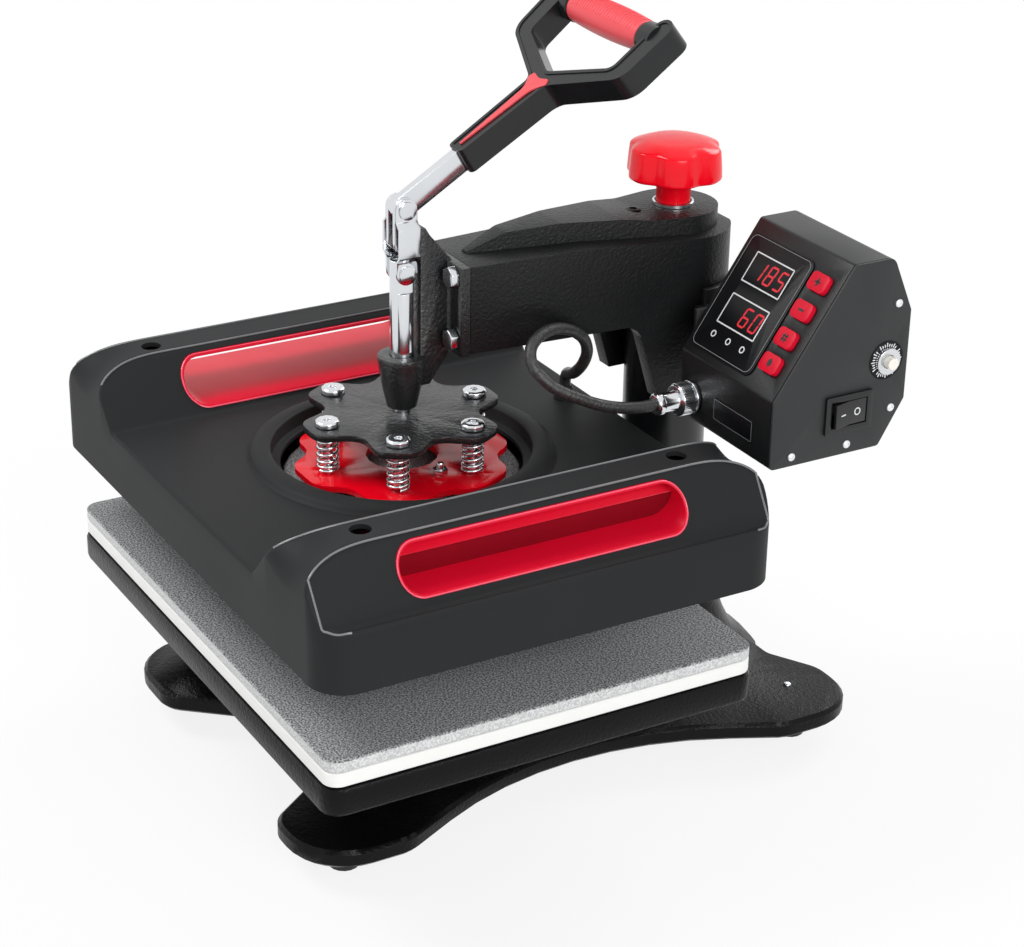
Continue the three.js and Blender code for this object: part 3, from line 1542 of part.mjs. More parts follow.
// The rocker switch: a bezel with an open body behind the plate, and the rocker in it
function rockerBezel() {
  const halfY = rocker.bezelLong / 2;
  const halfZ = rocker.bezelTall / 2;
  const face = slabAlongX(
    rectangle(rockerY - halfY, rockerY + halfY, rocker.z - halfZ, rocker.z + halfZ, rocker.wall),
    box.right + gap,
    box.right + rocker.bezelThickness,
  );
  const inY = rocker.bodyLong / 2;
  const inZ = rocker.bodyTall / 2;
  const body = block(
    box.right - rocker.bodyDepth, box.right + gap + weld,
    rockerY - inY, rockerY + inY,
    rocker.z - inZ, rocker.z + inZ,
  );
  const hollow = block(
    box.right - rocker.bodyDepth + rocker.wall, box.right + rocker.bezelThickness + overrun,
    rockerY - inY + rocker.wall, rockerY + inY - rocker.wall,
    rocker.z - inZ + rocker.wall, rocker.z + inZ - rocker.wall,
  );
  return joined(face, body).subtract(solid(hollow));
}
groups.arm.add(piece("rocker_bezel", rockerBezel(), ...finish.gloss));

function rockerShape() {
  const half = rocker.long / 2;
  const deep = rocker.pivotDepth;
  const halfZ = rocker.tall / 2;
  const corners = [
    [-deep, -half / 2],
    [rocker.swell / 2, -half],
    [rocker.swell * 1.6, -half],
    [rocker.swell, 0],
    [rocker.swell * 1.6, half],
    [rocker.swell / 2, half],
    [-deep, half / 2],
  ].map(([x, y]) => [x, y, 0]);
  return slab(corners, -halfZ, halfZ);
}
const rockerMesh = piece("rocker_switch", rockerShape(), ...finish.gloss);
rockerMesh.rotation.z = rocker.tilt;
rockerMesh.position.set(box.right, rockerY, rocker.z);
groups.controls.add(rockerMesh);

// The circuit breaker's bush and ring nut, and its push button
const bushShape = turned([
  [breaker.bore, -breaker.bushDepth],
  [breaker.bush, -breaker.bushDepth],
  [breaker.bush, gap],
  [breaker.nut, gap],
  [breaker.nut, breaker.nutHeight],
  [breaker.bore, breaker.nutHeight],
  [breaker.bore, -breaker.bushDepth],
]);
const bushMesh = piece("breaker_nut", alongX(bushShape), ...finish.chrome);
bushMesh.position.set(box.right, breakerY, breaker.z);
groups.arm.add(bushMesh);
const resetShape = disc(breaker.button, -breaker.bushDepth / 2, breaker.proud, roundSteps.medium);
const resetMesh = piece("breaker_button", alongX(resetShape), ...finish.ivory);
resetMesh.position.set(box.right, breakerY, breaker.z);
groups.controls.add(resetMesh);

// The socket on the box's front, and the plug that screws on it
const socketTop = gap + socket.flangeThickness;
const socketShape = turned([
  [0, -socket.depth],
  [socket.thread, -socket.depth],
  [socket.thread, gap],
  [socket.flange, gap],
  [socket.flange, socketTop],
  [0, socketTop],
]).rotateX(Math.PI / 2);
const socketMesh = piece("connector_socket", socketShape, ...finish.chrome);
socketMesh.position.set(socket.x, boxFront, socket.z);
groups.arm.add(socketMesh);
const nutEnd = socketTop + gap + plug.nutLength;
const barrelEnd = nutEnd + plug.barrelLength;
const clampEnd = barrelEnd + plug.clampLength;
const plugShape = turned([
  [0, socketTop + gap],
  [plug.nut - plug.chamfer, socketTop + gap],
  [plug.nut, socketTop + gap + plug.chamfer],
  [plug.nut, nutEnd - plug.chamfer],
  [plug.nut - plug.chamfer, nutEnd],
  [plug.barrel, nutEnd],
  [plug.barrel, barrelEnd],
  [plug.clamp, barrelEnd + plug.chamfer],
  [plug.clamp, clampEnd - plug.chamfer],
  [plug.clamp - plug.chamfer, clampEnd],
  [0, clampEnd],
]).rotateX(Math.PI / 2);
const plugMesh = piece("connector_plug", plugShape, ...finish.chrome);
plugMesh.position.set(socket.x, boxFront, socket.z);
groups.arm.add(plugMesh);

// The mains inlet in the box's rear wall, open to the back
function inletShape() {
  const halfW = inlet.width / 2;
  const halfH = inlet.height / 2;
  const margin = inlet.bodyMargin;
  const flange = block(
    inlet.x - halfW, inlet.x + halfW,
    boxRear + gap, boxRear + gap + inlet.flange,
    inlet.z - halfH, inlet.z + halfH,
  );
  const body = block(
    inlet.x - halfW + margin, inlet.x + halfW - margin,
    boxRear - inlet.depth, boxRear + gap + weld,
    inlet.z - halfH + margin, inlet.z + halfH - margin,
  );
  const wall = margin + box.sheet;
  const mouth = block(
    inlet.x - halfW + wall, inlet.x + halfW - wall,
    boxRear + gap + inlet.flange - inlet.hollow, boxRear + inlet.flange + overrun,
    inlet.z - halfH + wall, inlet.z + halfH - wall,
  );
  return joined(flange, body).subtract(solid(mouth));
}
groups.arm.add(piece("mains_inlet", inletShape(), ...finish.gloss));

// The bracket that carries the control box on the arm's sleeve
function boxBracket() {
  const inner = arm.sleeve + gap;
  const shell = ring(inner, inner + saddle.thickness, saddle.low, saddle.high, roundSteps.large);
  const keep = block(saddle.reach, box.left, -gap, arm.sleeve, saddle.low, saddle.high);
  const clip = solid(shell).intersect(solid(keep));
  const web = block(
    inner + saddle.thickness / 2, box.left - gap - saddle.padThickness / 2,
    -saddle.webHalf, saddle.webHalf,
    saddle.webLow, saddle.webHigh,
  );
  const padPlate = block(
    box.left - gap - saddle.padThickness, box.left - gap,
    -saddle.padHalfLength, saddle.padHalfLength,
    saddle.low, saddle.high,
  );
  return clip.add(solid(web)).add(solid(padPlate));
}
const boxBracketMesh = piece("box_bracket", boxBracket(), ...finish.castBlack);
boxBracketMesh.position.y = axes.column;
groups.arm.add(boxBracketMesh);

// The lead, from the plug's clamp round one loop and down into the cover
function leadShape() {
  const route = [
    ...leadFromBox.map(([x, y, z]) => new THREE.Vector3(x, boxFront + y, z)),
    ...leadToGland.map(([x, y, z]) => new THREE.Vector3(gland.x + x, gland.y + y, z)),
  ];
  route[0].y = boxFront - clampEnd - gap;
  const section = new THREE.Shape();
  for (let k = 0; k < lead.sides; k += 1) {
    const angle = (2 * Math.PI * k) / lead.sides;
    const x = lead.radius * Math.cos(angle);
    const y = lead.radius * Math.sin(angle);
    if (k === 0) section.moveTo(x, y);
    else section.lineTo(x, y);
  }
  section.closePath();
  const curve = new THREE.CatmullRomCurve3(route);
  return new THREE.ExtrudeGeometry(section, { steps: lead.steps, extrudePath: curve });
}
groups.arm.add(piece("heater_lead", leadShape(), ...finish.rubber));

// The origin lies under the middle of the press's outline
press.position.y = (cover.halfDepth - base.rearReach) / 2;

export default press;
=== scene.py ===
# A swing-arm heat press with its head raised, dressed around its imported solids.
# Shapes are drawn in millimetres about the spindle's axis, and set in the row frame in metres.
import math

import bmesh
import bpy
import numpy as np
from mathutils import Matrix, Vector


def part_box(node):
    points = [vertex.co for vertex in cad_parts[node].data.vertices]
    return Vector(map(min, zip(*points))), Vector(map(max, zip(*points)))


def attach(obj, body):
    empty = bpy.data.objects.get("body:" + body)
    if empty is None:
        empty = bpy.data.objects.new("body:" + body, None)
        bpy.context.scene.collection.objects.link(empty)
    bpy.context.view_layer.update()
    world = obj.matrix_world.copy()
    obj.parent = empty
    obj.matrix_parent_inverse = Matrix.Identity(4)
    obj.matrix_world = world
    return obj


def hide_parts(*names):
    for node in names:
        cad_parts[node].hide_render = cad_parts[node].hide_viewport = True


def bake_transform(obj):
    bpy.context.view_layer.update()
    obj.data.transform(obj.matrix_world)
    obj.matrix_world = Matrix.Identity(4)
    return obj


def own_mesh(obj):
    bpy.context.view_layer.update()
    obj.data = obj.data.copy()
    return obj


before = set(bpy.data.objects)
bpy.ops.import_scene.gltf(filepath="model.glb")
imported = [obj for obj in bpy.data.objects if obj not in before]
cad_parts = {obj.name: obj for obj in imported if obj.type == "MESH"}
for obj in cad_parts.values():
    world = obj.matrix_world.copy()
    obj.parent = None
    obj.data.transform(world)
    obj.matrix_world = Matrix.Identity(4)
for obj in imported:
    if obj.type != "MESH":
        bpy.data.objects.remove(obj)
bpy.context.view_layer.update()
spindle_low, spindle_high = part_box("spindle_rod")
spindle_y = (spindle_low.y + spindle_high.y) / 2
in_row = Matrix.Translation((0, spindle_y, 0)) @ Matrix.Scale(0.001, 4)


# Camera: a long lens, right of the operator and above, in the photograph's frame of 1024 x 947.
def linked(name, data):
    """A new object in the scene."""
    made = bpy.data.objects.new(name, data)
    bpy.context.scene.collection.objects.link(made)
    return made


image_width, image_height = 1024, 947
focal_pixels = 2531.4
aim_pixel = (401.98, 465.63)
aim_height, aim_distance = 209.69, 1603.78
azimuth, elevation, roll = (math.radians(angle) for angle in (59.82, 25.11, -1.01))
back = Vector((
    math.sin(azimuth) * math.cos(elevation),
    -math.cos(azimuth) * math.cos(elevation),
    math.sin(elevation),
))
level = Vector((math.cos(azimuth), math.sin(azimuth), 0))
plumb = back.cross(level)
right = level * math.cos(roll) - plumb * math.sin(roll)
above = back.cross(right)
across = (aim_pixel[0] - image_width / 2) / focal_pixels * aim_distance
down = (aim_pixel[1] - image_height / 2) / focal_pixels * aim_distance
eye = Vector((0, 0, aim_height)) + back * aim_distance - right * across + above * down
camera = linked("camera", bpy.data.cameras.new("camera"))
camera.data.sensor_width = 36
camera.data.lens = camera.data.sensor_width * focal_pixels / image_width
turned = Matrix((right, above, back)).transposed().to_4x4()
camera.matrix_world = Matrix.Translation(in_row @ eye) @ turned
bpy.context.scene.camera = camera


# Floor and light: a plain pale floor that ends in white, three large soft lamps and a pale sky.
def add_node(tree, kind, inputs=None, **settings):
    """Adds one node. An input given a socket or a node is linked to it, any other is set."""
    made = tree.nodes.new(kind)
    for name, value in settings.items():
        setattr(made, name, value)
    for name, value in (inputs or {}).items():
        if isinstance(value, bpy.types.Node):
            value = next(socket for socket in value.outputs if socket.enabled)
        if isinstance(value, bpy.types.NodeSocket):
            tree.links.new(value, made.inputs[name])
        else:
            made.inputs[name].default_value = value
    return made


def paint(code):
    """A colour written as an sRGB hex value, as linear RGBA."""
    parts = [int(code[i:i + 2], 16) / 255 for i in (0, 2, 4)]
    line = [c / 12.92 if c <= 0.04045 else ((c + 0.055) / 1.055) ** 2.4 for c in parts]
    return (*line, 1)


def empty_material(name):
    """A material without nodes."""
    material = bpy.data.materials.new(name)
    material.use_nodes = True
    material.node_tree.nodes.clear()
    return material, material.node_tree


paper, tree = empty_material("floor_paper")
place = add_node(tree, "ShaderNodeTexCoord")
reach = add_node(tree, "ShaderNodeVectorMath", {0: place.outputs["Object"]}, operation="LENGTH")
# The floor glows nearly white, so only a faint shadow shows, and is all white from 0.8 m out.
fade = add_node(tree, "ShaderNodeMapRange", {
    "Value": reach, "From Min": 0.42, "From Max": 0.8, "To Min": 0.85,
}, interpolation_type="SMOOTHSTEP")
sheet = add_node(tree, "ShaderNodeBsdfDiffuse", {"Color": paint("f6f6f6")})
glow = add_node(tree, "ShaderNodeEmission", {"Color": paint("ffffff"), "Strength": 1})
rays = add_node(tree, "ShaderNodeLightPath").outputs
seen = add_node(tree, "ShaderNodeMath", {0: rays["Is Camera Ray"], 1: rays["Is Glossy Ray"]},
                operation="MAXIMUM")
white = add_node(tree, "ShaderNodeMath", {0: seen, 1: fade}, operation="MULTIPLY")
blend = add_node(tree, "ShaderNodeMixShader", {0: white, 1: sheet, 2: glow})
add_node(tree, "ShaderNodeOutputMaterial", {"Surface": blend})
floor_mesh = bpy.data.meshes.new("floor")
floor_reach = 6
floor_mesh.from_pydata(
    [(x * floor_reach, y * floor_reach, 0) for x, y in ((-1, -1), (1, -1), (1, 1), (-1, 1))],
    [], [(0, 1, 2, 3)],
)
floor_mesh.materials.append(paper)
linked("floor", floor_mesh)

world = bpy.data.worlds.new("studio")
world.use_nodes = True
tree = world.node_tree
tree.nodes.clear()
rays = add_node(tree, "ShaderNodeLightPath").outputs
seen = add_node(tree, "ShaderNodeMath", {0: rays["Is Camera Ray"], 1: rays["Is Transmission Ray"]},
                operation="MAXIMUM")
shown = add_node(tree, "ShaderNodeMath", {0: seen, 1: rays["Is Glossy Ray"]}, operation="MAXIMUM")
strength = add_node(tree, "ShaderNodeMapRange", {"Value": shown, "To Min": 0.45, "To Max": 1})
sky = add_node(tree, "ShaderNodeBackground", {"Color": paint("ffffff"), "Strength": strength})
add_node(tree, "ShaderNodeOutputWorld", {"Surface": sky})
bpy.context.scene.world = world


def soft_lamp(name, place, width, power):
    """A square lamp at a place in metres that looks at the middle of the press."""
    light = bpy.data.lights.new(name, "AREA")
    light.shape, light.size, light.energy = "SQUARE", width, power
    lamp = linked(name, light)
    lamp.location = place
    away = Vector(place) - Vector((0, 0, 0.2))
    lamp.rotation_euler = away.to_track_quat("Z", "Y").to_euler()


soft_lamp("key_lamp", (-0.9, -1.3, 2.1), 1.0, 30)
soft_lamp("side_lamp", (2.2, -0.2, 1.2), 1.2, 28)
soft_lamp("back_lamp", (-0.6, 1.9, 1.6), 1.1, 20)
bpy.context.scene.view_settings.view_transform = "Standard"


# Lead: a cable in a braided sleeve, from the plug on the control box, in one loop under the arm,
# to the gland on the cover.
def between(tree, factor, a, b):
    """A colour between two, as far along as the factor says."""
    return add_node(tree, "ShaderNodeMix", {"Factor": factor, "A": a, "B": b}, data_type="RGBA")


def finished(tree, inputs):
    """Gives a material its shader and its output."""
    shader = add_node(tree, "ShaderNodeBsdfPrincipled", inputs)
    add_node(tree, "ShaderNodeOutputMaterial", {"Surface": shader})


def surface(name, colour, second, roughness, metallic=0.0, grain=0.6, relief=0.02,
            blotch=25.0, coat=0.0, shine=0.5):
    """A material with a fine grain and a slow change between two tones. Its sizes are in mm."""
    material, tree = empty_material(name)
    place = add_node(tree, "ShaderNodeTexCoord").outputs["Object"]
    fine = add_node(tree, "ShaderNodeTexNoise", {
        "Vector": place, "Scale": 1000 / grain, "Detail": 3.0, "Roughness": 0.55,
    })
    slow = add_node(tree, "ShaderNodeTexNoise", {
        "Vector": place, "Scale": 1000 / blotch, "Detail": 2.0,
    })
    dull = add_node(tree, "ShaderNodeMapRange", {
        "Value": slow, "To Min": roughness * 0.88, "To Max": roughness * 1.12,
    })
    bump = add_node(tree, "ShaderNodeBump", {
        "Height": fine, "Strength": 1.0, "Distance": relief / 1000,
    })
    finished(tree, {
        "Base Color": between(tree, slow, paint(colour), paint(second)), "Roughness": dull,
        "Metallic": metallic, "Normal": bump, "Coat Weight": coat, "Coat Roughness": 0.08,
        "Specular IOR Level": shine,
    })
    return material


def piece(name, mesh, material, body, stands_for=(), sharp=38):
    """Sets a mesh drawn in millimetres about the spindle in the row frame, and lets it ride."""
    mesh.transform(in_row)
    mesh.materials.clear()
    mesh.materials.append(material)
    mesh.polygons.foreach_set("material_index", [0] * len(mesh.polygons))
    mesh.shade_smooth()
    mesh.set_sharp_from_angle(angle=math.radians(sharp))
    made = linked(name, mesh)
    if body:
        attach(made, body)
    if stands_for:
        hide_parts(*stands_for)
    return made


def welded(points, faces, above=None):
    """A mesh with its doubled points joined. Its faces look outward, or up above a height."""
    mesh = bpy.data.meshes.new("welded")
    mesh.from_pydata(points, [], faces)
    bm = bmesh.new()
    bm.from_mesh(mesh)
    bmesh.ops.remove_doubles(bm, verts=bm.verts, dist=1e-4)
    bmesh.ops.recalc_face_normals(bm, faces=bm.faces)
    if above and sum(f.normal.z for f in bm.faces if f.calc_center_median().z > above) < 0:
        bmesh.ops.reverse_faces(bm, faces=bm.faces)
    bm.to_mesh(mesh)
    bm.free()
    return mesh


def stacked(rings, closed=False):
    """A mesh whose skin runs from ring to ring of points. The ends are capped unless it closes."""
    count = len(rings[0])
    points = [tuple(p) for ring in rings for p in ring]
    faces = []
    spans = len(rings) if closed else len(rings) - 1
    for i in range(spans):
        a, b = i * count, ((i + 1) % len(rings)) * count
        faces += [(a + k, a + (k + 1) % count, b + (k + 1) % count, b + k) for k in range(count)]
    if not closed:
        faces.append(tuple(reversed(range(count))))
        faces.append(tuple(range((len(rings) - 1) * count, len(rings) * count)))
    return welded(points, faces)


def tube(points, radius, sides, outward=None):
    """A round tube along points, whose rings turn as little as they can. A loop is closed when
    the way outward from it is given, and its rings start there."""
    points = [Vector(p) for p in points]
    side, rings = None, []
    for i, point in enumerate(points):
        before, after = max(i - 1, 0), min(i + 1, len(points) - 1)
        if outward:
            before, after, side = i - 1, (i + 1) % len(points), outward
        along = (points[after] - points[before]).normalized()
        side = side or along.orthogonal().normalized()
        side = (side - along * side.dot(along)).normalized()
        other = along.cross(side)
        turns = [2 * math.pi * k / sides for k in range(sides)]
        rings.append([
            point + side * (radius * math.cos(t)) + other * (radius * math.sin(t)) for t in turns
        ])
    return stacked(rings, closed=bool(outward))


def smooth_route(knots, step):
    """Points a step apart on a centripetal Catmull-Rom curve through the knots."""
    knots = [Vector(k) for k in knots]
    knots = [knots[0] * 2 - knots[1], *knots, knots[-1] * 2 - knots[-2]]
    found = []
    for before, a, b, after in zip(knots, knots[1:], knots[2:], knots[3:]):
        spans = [max((q - p).length, 1e-6) ** 0.5 for p, q in ((before, a), (a, b), (b, after))]
        leave = ((a - before) / spans[0] - (b - before) / (spans[0] + spans[1])
                 + (b - a) / spans[1]) * spans[1]
        reach = ((b - a) / spans[1] - (after - a) / (spans[1] + spans[2])
                 + (after - b) / spans[2]) * spans[1]
        count = max(2, round((b - a).length / step))
        for t in np.linspace(0, 1, count, endpoint=False):
            found.append(
                a * (2 * t**3 - 3 * t**2 + 1) + leave * (t**3 - 2 * t**2 + t)
                + b * (3 * t**2 - 2 * t**3) + reach * (t**3 - t**2)
            )
    return [*found, knots[-2]]


lead_radius = 3.8
lead_knots = [
    (82, 134.7, 256), (82, 124, 256.5), (81, 111, 258.5), (79, 97, 262.5), (76, 80.5, 270),
    (72, 68, 277), (68, 61.5, 283.5), (62, 57.5, 291), (56, 60, 298.5), (51, 69, 303.5),
    (46, 82.6, 304), (42, 97, 299), (38, 109, 289.5), (32, 115.5, 277.5), (23, 118, 265),
    (10, 120, 254), (-4, 125, 247.5), (-14, 130, 243), (-22, 133.4, 237.5), (-24, 134, 231.5),
    (-24, 134, 225.5),
]
lead_path = smooth_route(lead_knots, 2.5)
# Chloroprene rubber, extruded: near black, a soft sheen and a faint grain.
rubber_sheath = surface("chloroprene_rubber", "131416", "191a1c", 0.45, grain=0.9,
                        relief=0.03, shine=0.35)
# Braided polyester sleeve over the cable: fine threads that glint, drawn a little coarse to show.
braid = surface("braided_polyester_sleeve", "060607", "48494a", 0.35, grain=1.6, relief=0.5,
                blotch=2.2, shine=0.5)
lead = piece("heater_lead_sheath", tube(lead_path, lead_radius, 16), braid, None, ["heater_lead"])
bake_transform(lead)


# Base casting: grey iron, poured in sand and powder-coated in coarse black. The bell holds the
# column, and the four round-ended legs stand on rubber feet.
def worked(mesh, *steps):
    """The mesh after a row of modifiers, each given as its type and its settings."""
    holder = linked("holder", mesh)
    for kind, settings in steps:
        modifier = holder.modifiers.new(kind.lower(), kind)
        for name, value in settings.items():
            if name in modifier.bl_rna.properties:
                setattr(modifier, name, value)
            else:
                modifier[name] = value
    bpy.context.view_layer.update()
    seen = holder.evaluated_get(bpy.context.evaluated_depsgraph_get())
    done = bpy.data.meshes.new_from_object(seen)
    bpy.data.objects.remove(holder)
    return done


def cut(mesh, cutters, operation="DIFFERENCE"):
    """The mesh after each cutter has been taken from it, joined to it or met with it."""
    for cutter in cutters:
        other = linked("cutter", cutter)
        mesh = worked(mesh, ("BOOLEAN", {"object": other, "operation": operation,
                                         "solver": "MANIFOLD"}))
        bpy.data.objects.remove(other)
    return mesh


def from_solid(node):
    """A CAD node's solid as one closed mesh with whole faces, in millimetres about the spindle."""
    bm = bmesh.new()
    bm.from_mesh(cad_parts[node].data)
    bm.transform(in_row.inverted())
    bmesh.ops.remove_doubles(bm, verts=bm.verts, dist=2e-3)
    bmesh.ops.dissolve_limit(
        bm, angle_limit=math.radians(0.5), verts=bm.verts, edges=bm.edges, delimit=set(),
    )
    mesh = bpy.data.meshes.new(node)
    bm.to_mesh(mesh)
    bm.free()
    return mesh


def softened(mesh, width, rounds=2, turn=40):
    """The mesh in triangles, with each edge that turns more than some degrees broken."""
    return worked(mesh, ("BEVEL", {
        "width": width, "segments": rounds, "limit_method": "ANGLE",
        "angle_limit": math.radians(turn),
    }), ("TRIANGULATE", {}))


def dressed(node, material, body, edge=0.6, rounds=2, cutters=()):
    """A CAD node's solid with its edges broken, as the real piece's are, and any recess cut."""
    mesh = softened(cut(from_solid(node), cutters), edge, rounds, 36)
    piece(node + "_finish", mesh, material, body, [node])


# Iron casting under a coarse powder coat: wrinkles of two millimetres whose tops catch the light.
# Painted shade: this copy of the coat is painted darker than the arm's copy of it.
base_enamel = surface("coarse_powder_coat_base", "080809", "0d0d0e", 0.3, grain=2.3,
                      relief=0.4, blotch=40, shine=0.13)
dressed("base_casting", base_enamel, "base", 1.6, 3)

# Rubber feet: four moulded bungs, each held up into its boss by a screw.
feet = ("front_left", "front_right", "rear_left", "rear_right")
for place in feet:
    dressed("rubber_foot_" + place, rubber_sheath, "base", 1.2)


# Column and pedestal: a drawn steel tube in the base's bell, and the post under the tray.
def circle(radius, height, steps, lobes=0, dip=0.0, turn=0.0):
    """Points round a circle, drawn in to a narrow flute between each two of its lobes."""
    points = []
    for k in range(steps):
        angle = 2 * math.pi * k / steps
        reach = radius - dip * (0.5 - 0.5 * math.cos(lobes * (angle - turn))) ** 2
        points.append((reach * math.cos(angle), reach * math.sin(angle), height))
    return points


def lathed(profile, steps=64):
    """A turned solid from a profile of radius and height. A closed profile makes a ring."""
    rings = [circle(max(r, 1e-5), z, steps) for r, z in profile]
    if profile[0] == profile[-1]:
        return stacked(rings[:-1], closed=True)
    return stacked(rings)


def turned_rod(radius, low, high, steps, bore=0.01):
    """A plain cylinder. With few steps it is a hexagon."""
    return lathed([(bore, low), (radius, low), (radius, high), (bore, high)], steps)


def turned_ring(inner, outer, low, high, steps):
    """A plain ring."""
    return lathed([(inner, low), (outer, low), (outer, high), (inner, high), (inner, low)], steps)


def moved(mesh, *steps):
    """The mesh after each step: a turn as an axis and an angle, or a shift as three lengths."""
    for step in steps:
        if len(step) == 2:
            step = Matrix.Rotation(step[1], 4, step[0])
        elif len(step) == 3:
            step = Matrix.Translation(step)
        mesh.transform(step)
    return mesh


def extent(node):
    """The two far corners of a CAD node's box, in millimetres about the spindle."""
    return [in_row.inverted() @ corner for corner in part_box(node)]


column_y = 197.2
column_low, column_high = extent("column_tube")
column_radius = (column_high.x - column_low.x) / 2
# Smooth black stove enamel on drawn tube: a long soft highlight, hardly any grain.
smooth_enamel = surface("smooth_stove_enamel", "141517", "18191b", 0.24, grain=3,
                        relief=0.02)
column_wall = 3
column = turned_ring(column_radius - column_wall, column_radius, column_low.z, column_high.z, 96)
piece("column_tube_finish", moved(column, (0, column_y, 0)), smooth_enamel, "base", ["column_tube"])
dressed("tray_pedestal", base_enamel, "base", 0.8)


# Foot screws: a small bright dome head on each leg, over the bung that it draws up.
def planted(name, head, spots, finish, seed=0, sizes=None):
    """Copies of a head set on spots, each a place and the way it faces. A seed turns each one."""
    points = bpy.data.meshes.new(name)
    points.from_pydata([place for place, _ in spots], [], [])
    facing = points.attributes.new("facing", "FLOAT_VECTOR", "POINT")
    facing.data.foreach_set("vector", [c for _, aim in spots for c in aim])
    size = points.attributes.new("size", "FLOAT", "POINT")
    size.data.foreach_set("value", sizes or [1.0] * len(spots))
    model = linked(name + "_head", head)
    tree = bpy.data.node_groups.new(name, "GeometryNodeTree")
    tree.interface.new_socket("Geometry", in_out="INPUT", socket_type="NodeSocketGeometry")
    inputs = {}
    for label, kind, value in (("Head", "Object", model), ("Seed", "Int", seed),
                               ("Spin", "Float", 6.28 if seed else 0.0),
                               ("Finish", "Material", finish)):
        socket = tree.interface.new_socket(label, in_out="INPUT", socket_type="NodeSocket" + kind)
        inputs[socket.identifier] = value
    tree.interface.new_socket("Geometry", in_out="OUTPUT", socket_type="NodeSocketGeometry")
    entry = add_node(tree, "NodeGroupInput").outputs
    part = add_node(tree, "GeometryNodeObjectInfo", {"Object": entry["Head"]}).outputs
    aim = add_node(tree, "GeometryNodeInputNamedAttribute", {"Name": "facing"},
                   data_type="FLOAT_VECTOR")
    scale = add_node(tree, "GeometryNodeInputNamedAttribute", {"Name": "size"}, data_type="FLOAT")
    upright = add_node(tree, "FunctionNodeAlignRotationToVector", {"Vector": aim}, axis="Z")
    spin = add_node(tree, "FunctionNodeRandomValue", {
        "Seed": entry["Seed"], 2: 0.0, 3: entry["Spin"],
    }, data_type="FLOAT")
    turned = add_node(tree, "FunctionNodeAxisAngleToRotation", {"Axis": (0, 0, 1), "Angle": spin})
    both = add_node(tree, "FunctionNodeRotateRotation", {
        "Rotation": upright, "Rotate By": turned,
    }, rotation_space="LOCAL")
    copies = add_node(tree, "GeometryNodeInstanceOnPoints", {
        "Points": entry["Geometry"], "Instance": part["Geometry"], "Rotation": both, "Scale": scale,
    })
    real = add_node(tree, "GeometryNodeRealizeInstances", {"Geometry": copies})
    painted = add_node(tree, "GeometryNodeSetMaterial", {"Geometry": real, "Material": entry["Finish"]})
    add_node(tree, "NodeGroupOutput", {"Geometry": painted})
    mesh = worked(points, ("NODES", {"node_group": tree, **inputs}))
    bpy.data.objects.remove(model)
    return mesh


def screw_head(radius, height, across, deep, dome=0.5):
    """A turned head with a hexagon socket. Its seat is at zero, and it faces up."""
    rise = [(radius * math.cos(t), height * (1 - dome) + height * dome * math.sin(t))
            for t in (k / 5 * math.pi / 2 for k in range(5))]
    neck, root = radius * 0.97, -0.6
    head = lathed([(0.01, root), (neck, root), (neck, 0), *rise, (0.01, height)], 28)
    return cut(head, [turned_rod(across / 1.732, height - deep, height + 1, 6)])


def screws(name, head, spots, finish, body, seed=0):
    """One piece made of copies of a head."""
    piece(name, planted(name, head, spots, finish, seed), finish, body)


# Bright nickel on turned and drawn steel: a near mirror with faint draw lines.
nickel = surface("bright_nickel_plate", "e2e4e7", "d3d6da", 0.14, 1.0, grain=1.2,
                 relief=0.006)
foot_screws = []
for place in feet:
    low, high = extent("rubber_foot_" + place)
    middle = (low + high) / 2
    inward = -8 if middle.x > 0 else 8
    foot_screws.append(((middle.x + inward, middle.y + 2, 31.0), (0, 0, 1)))
screws("foot_screws", screw_head(2.7, 1.8, 2.0, 0.9, 0.8), foot_screws, nickel, "base", 4)

# Lower tray: a flat iron casting with a bevelled rim and ribs below, in the same coarse coat.
dressed("lower_tray", base_enamel, "base", 0.8)


# Pad: a sheet of white silicone under a sheet of grey silicone sponge, both cut with round
# corners and laid loose on the tray.
def rounded_ring(half_x, half_y, corner, height, steps):
    """Points round a rectangle with round corners, counter-clockwise from its right side."""
    points = []
    for quarter in range(4):
        cx = (half_x - corner) * (1 if quarter in (0, 3) else -1)
        cy = (half_y - corner) * (1 if quarter in (0, 1) else -1)
        for k in range(steps + 1):
            angle = (quarter + k / steps) * math.pi / 2
            points.append((cx + corner * math.cos(angle), cy + corner * math.sin(angle), height))
    return points


def soft_slab(half_x, half_y, corner, low, high, edge, rounds=5):
    """A slab with round corners and rounded rims."""
    turns = [k / rounds * math.pi / 2 for k in range(rounds + 1)]
    lower = [(edge * (1 - math.sin(t)), low + edge * (1 - math.cos(t))) for t in turns]
    upper = [(inset, low + high - z) for inset, z in reversed(lower)]
    rings = [
        rounded_ring(half_x - inset, half_y - inset, corner - inset, z, 10)
        for inset, z in [*lower, *upper]
    ]
    return stacked(rings)


# Cast silicone sheet: milky white with a silky sheen.
milky_silicone = surface("cast_silicone", "f2f2f0", "ecece9", 0.45, grain=2,
                         relief=0.02)
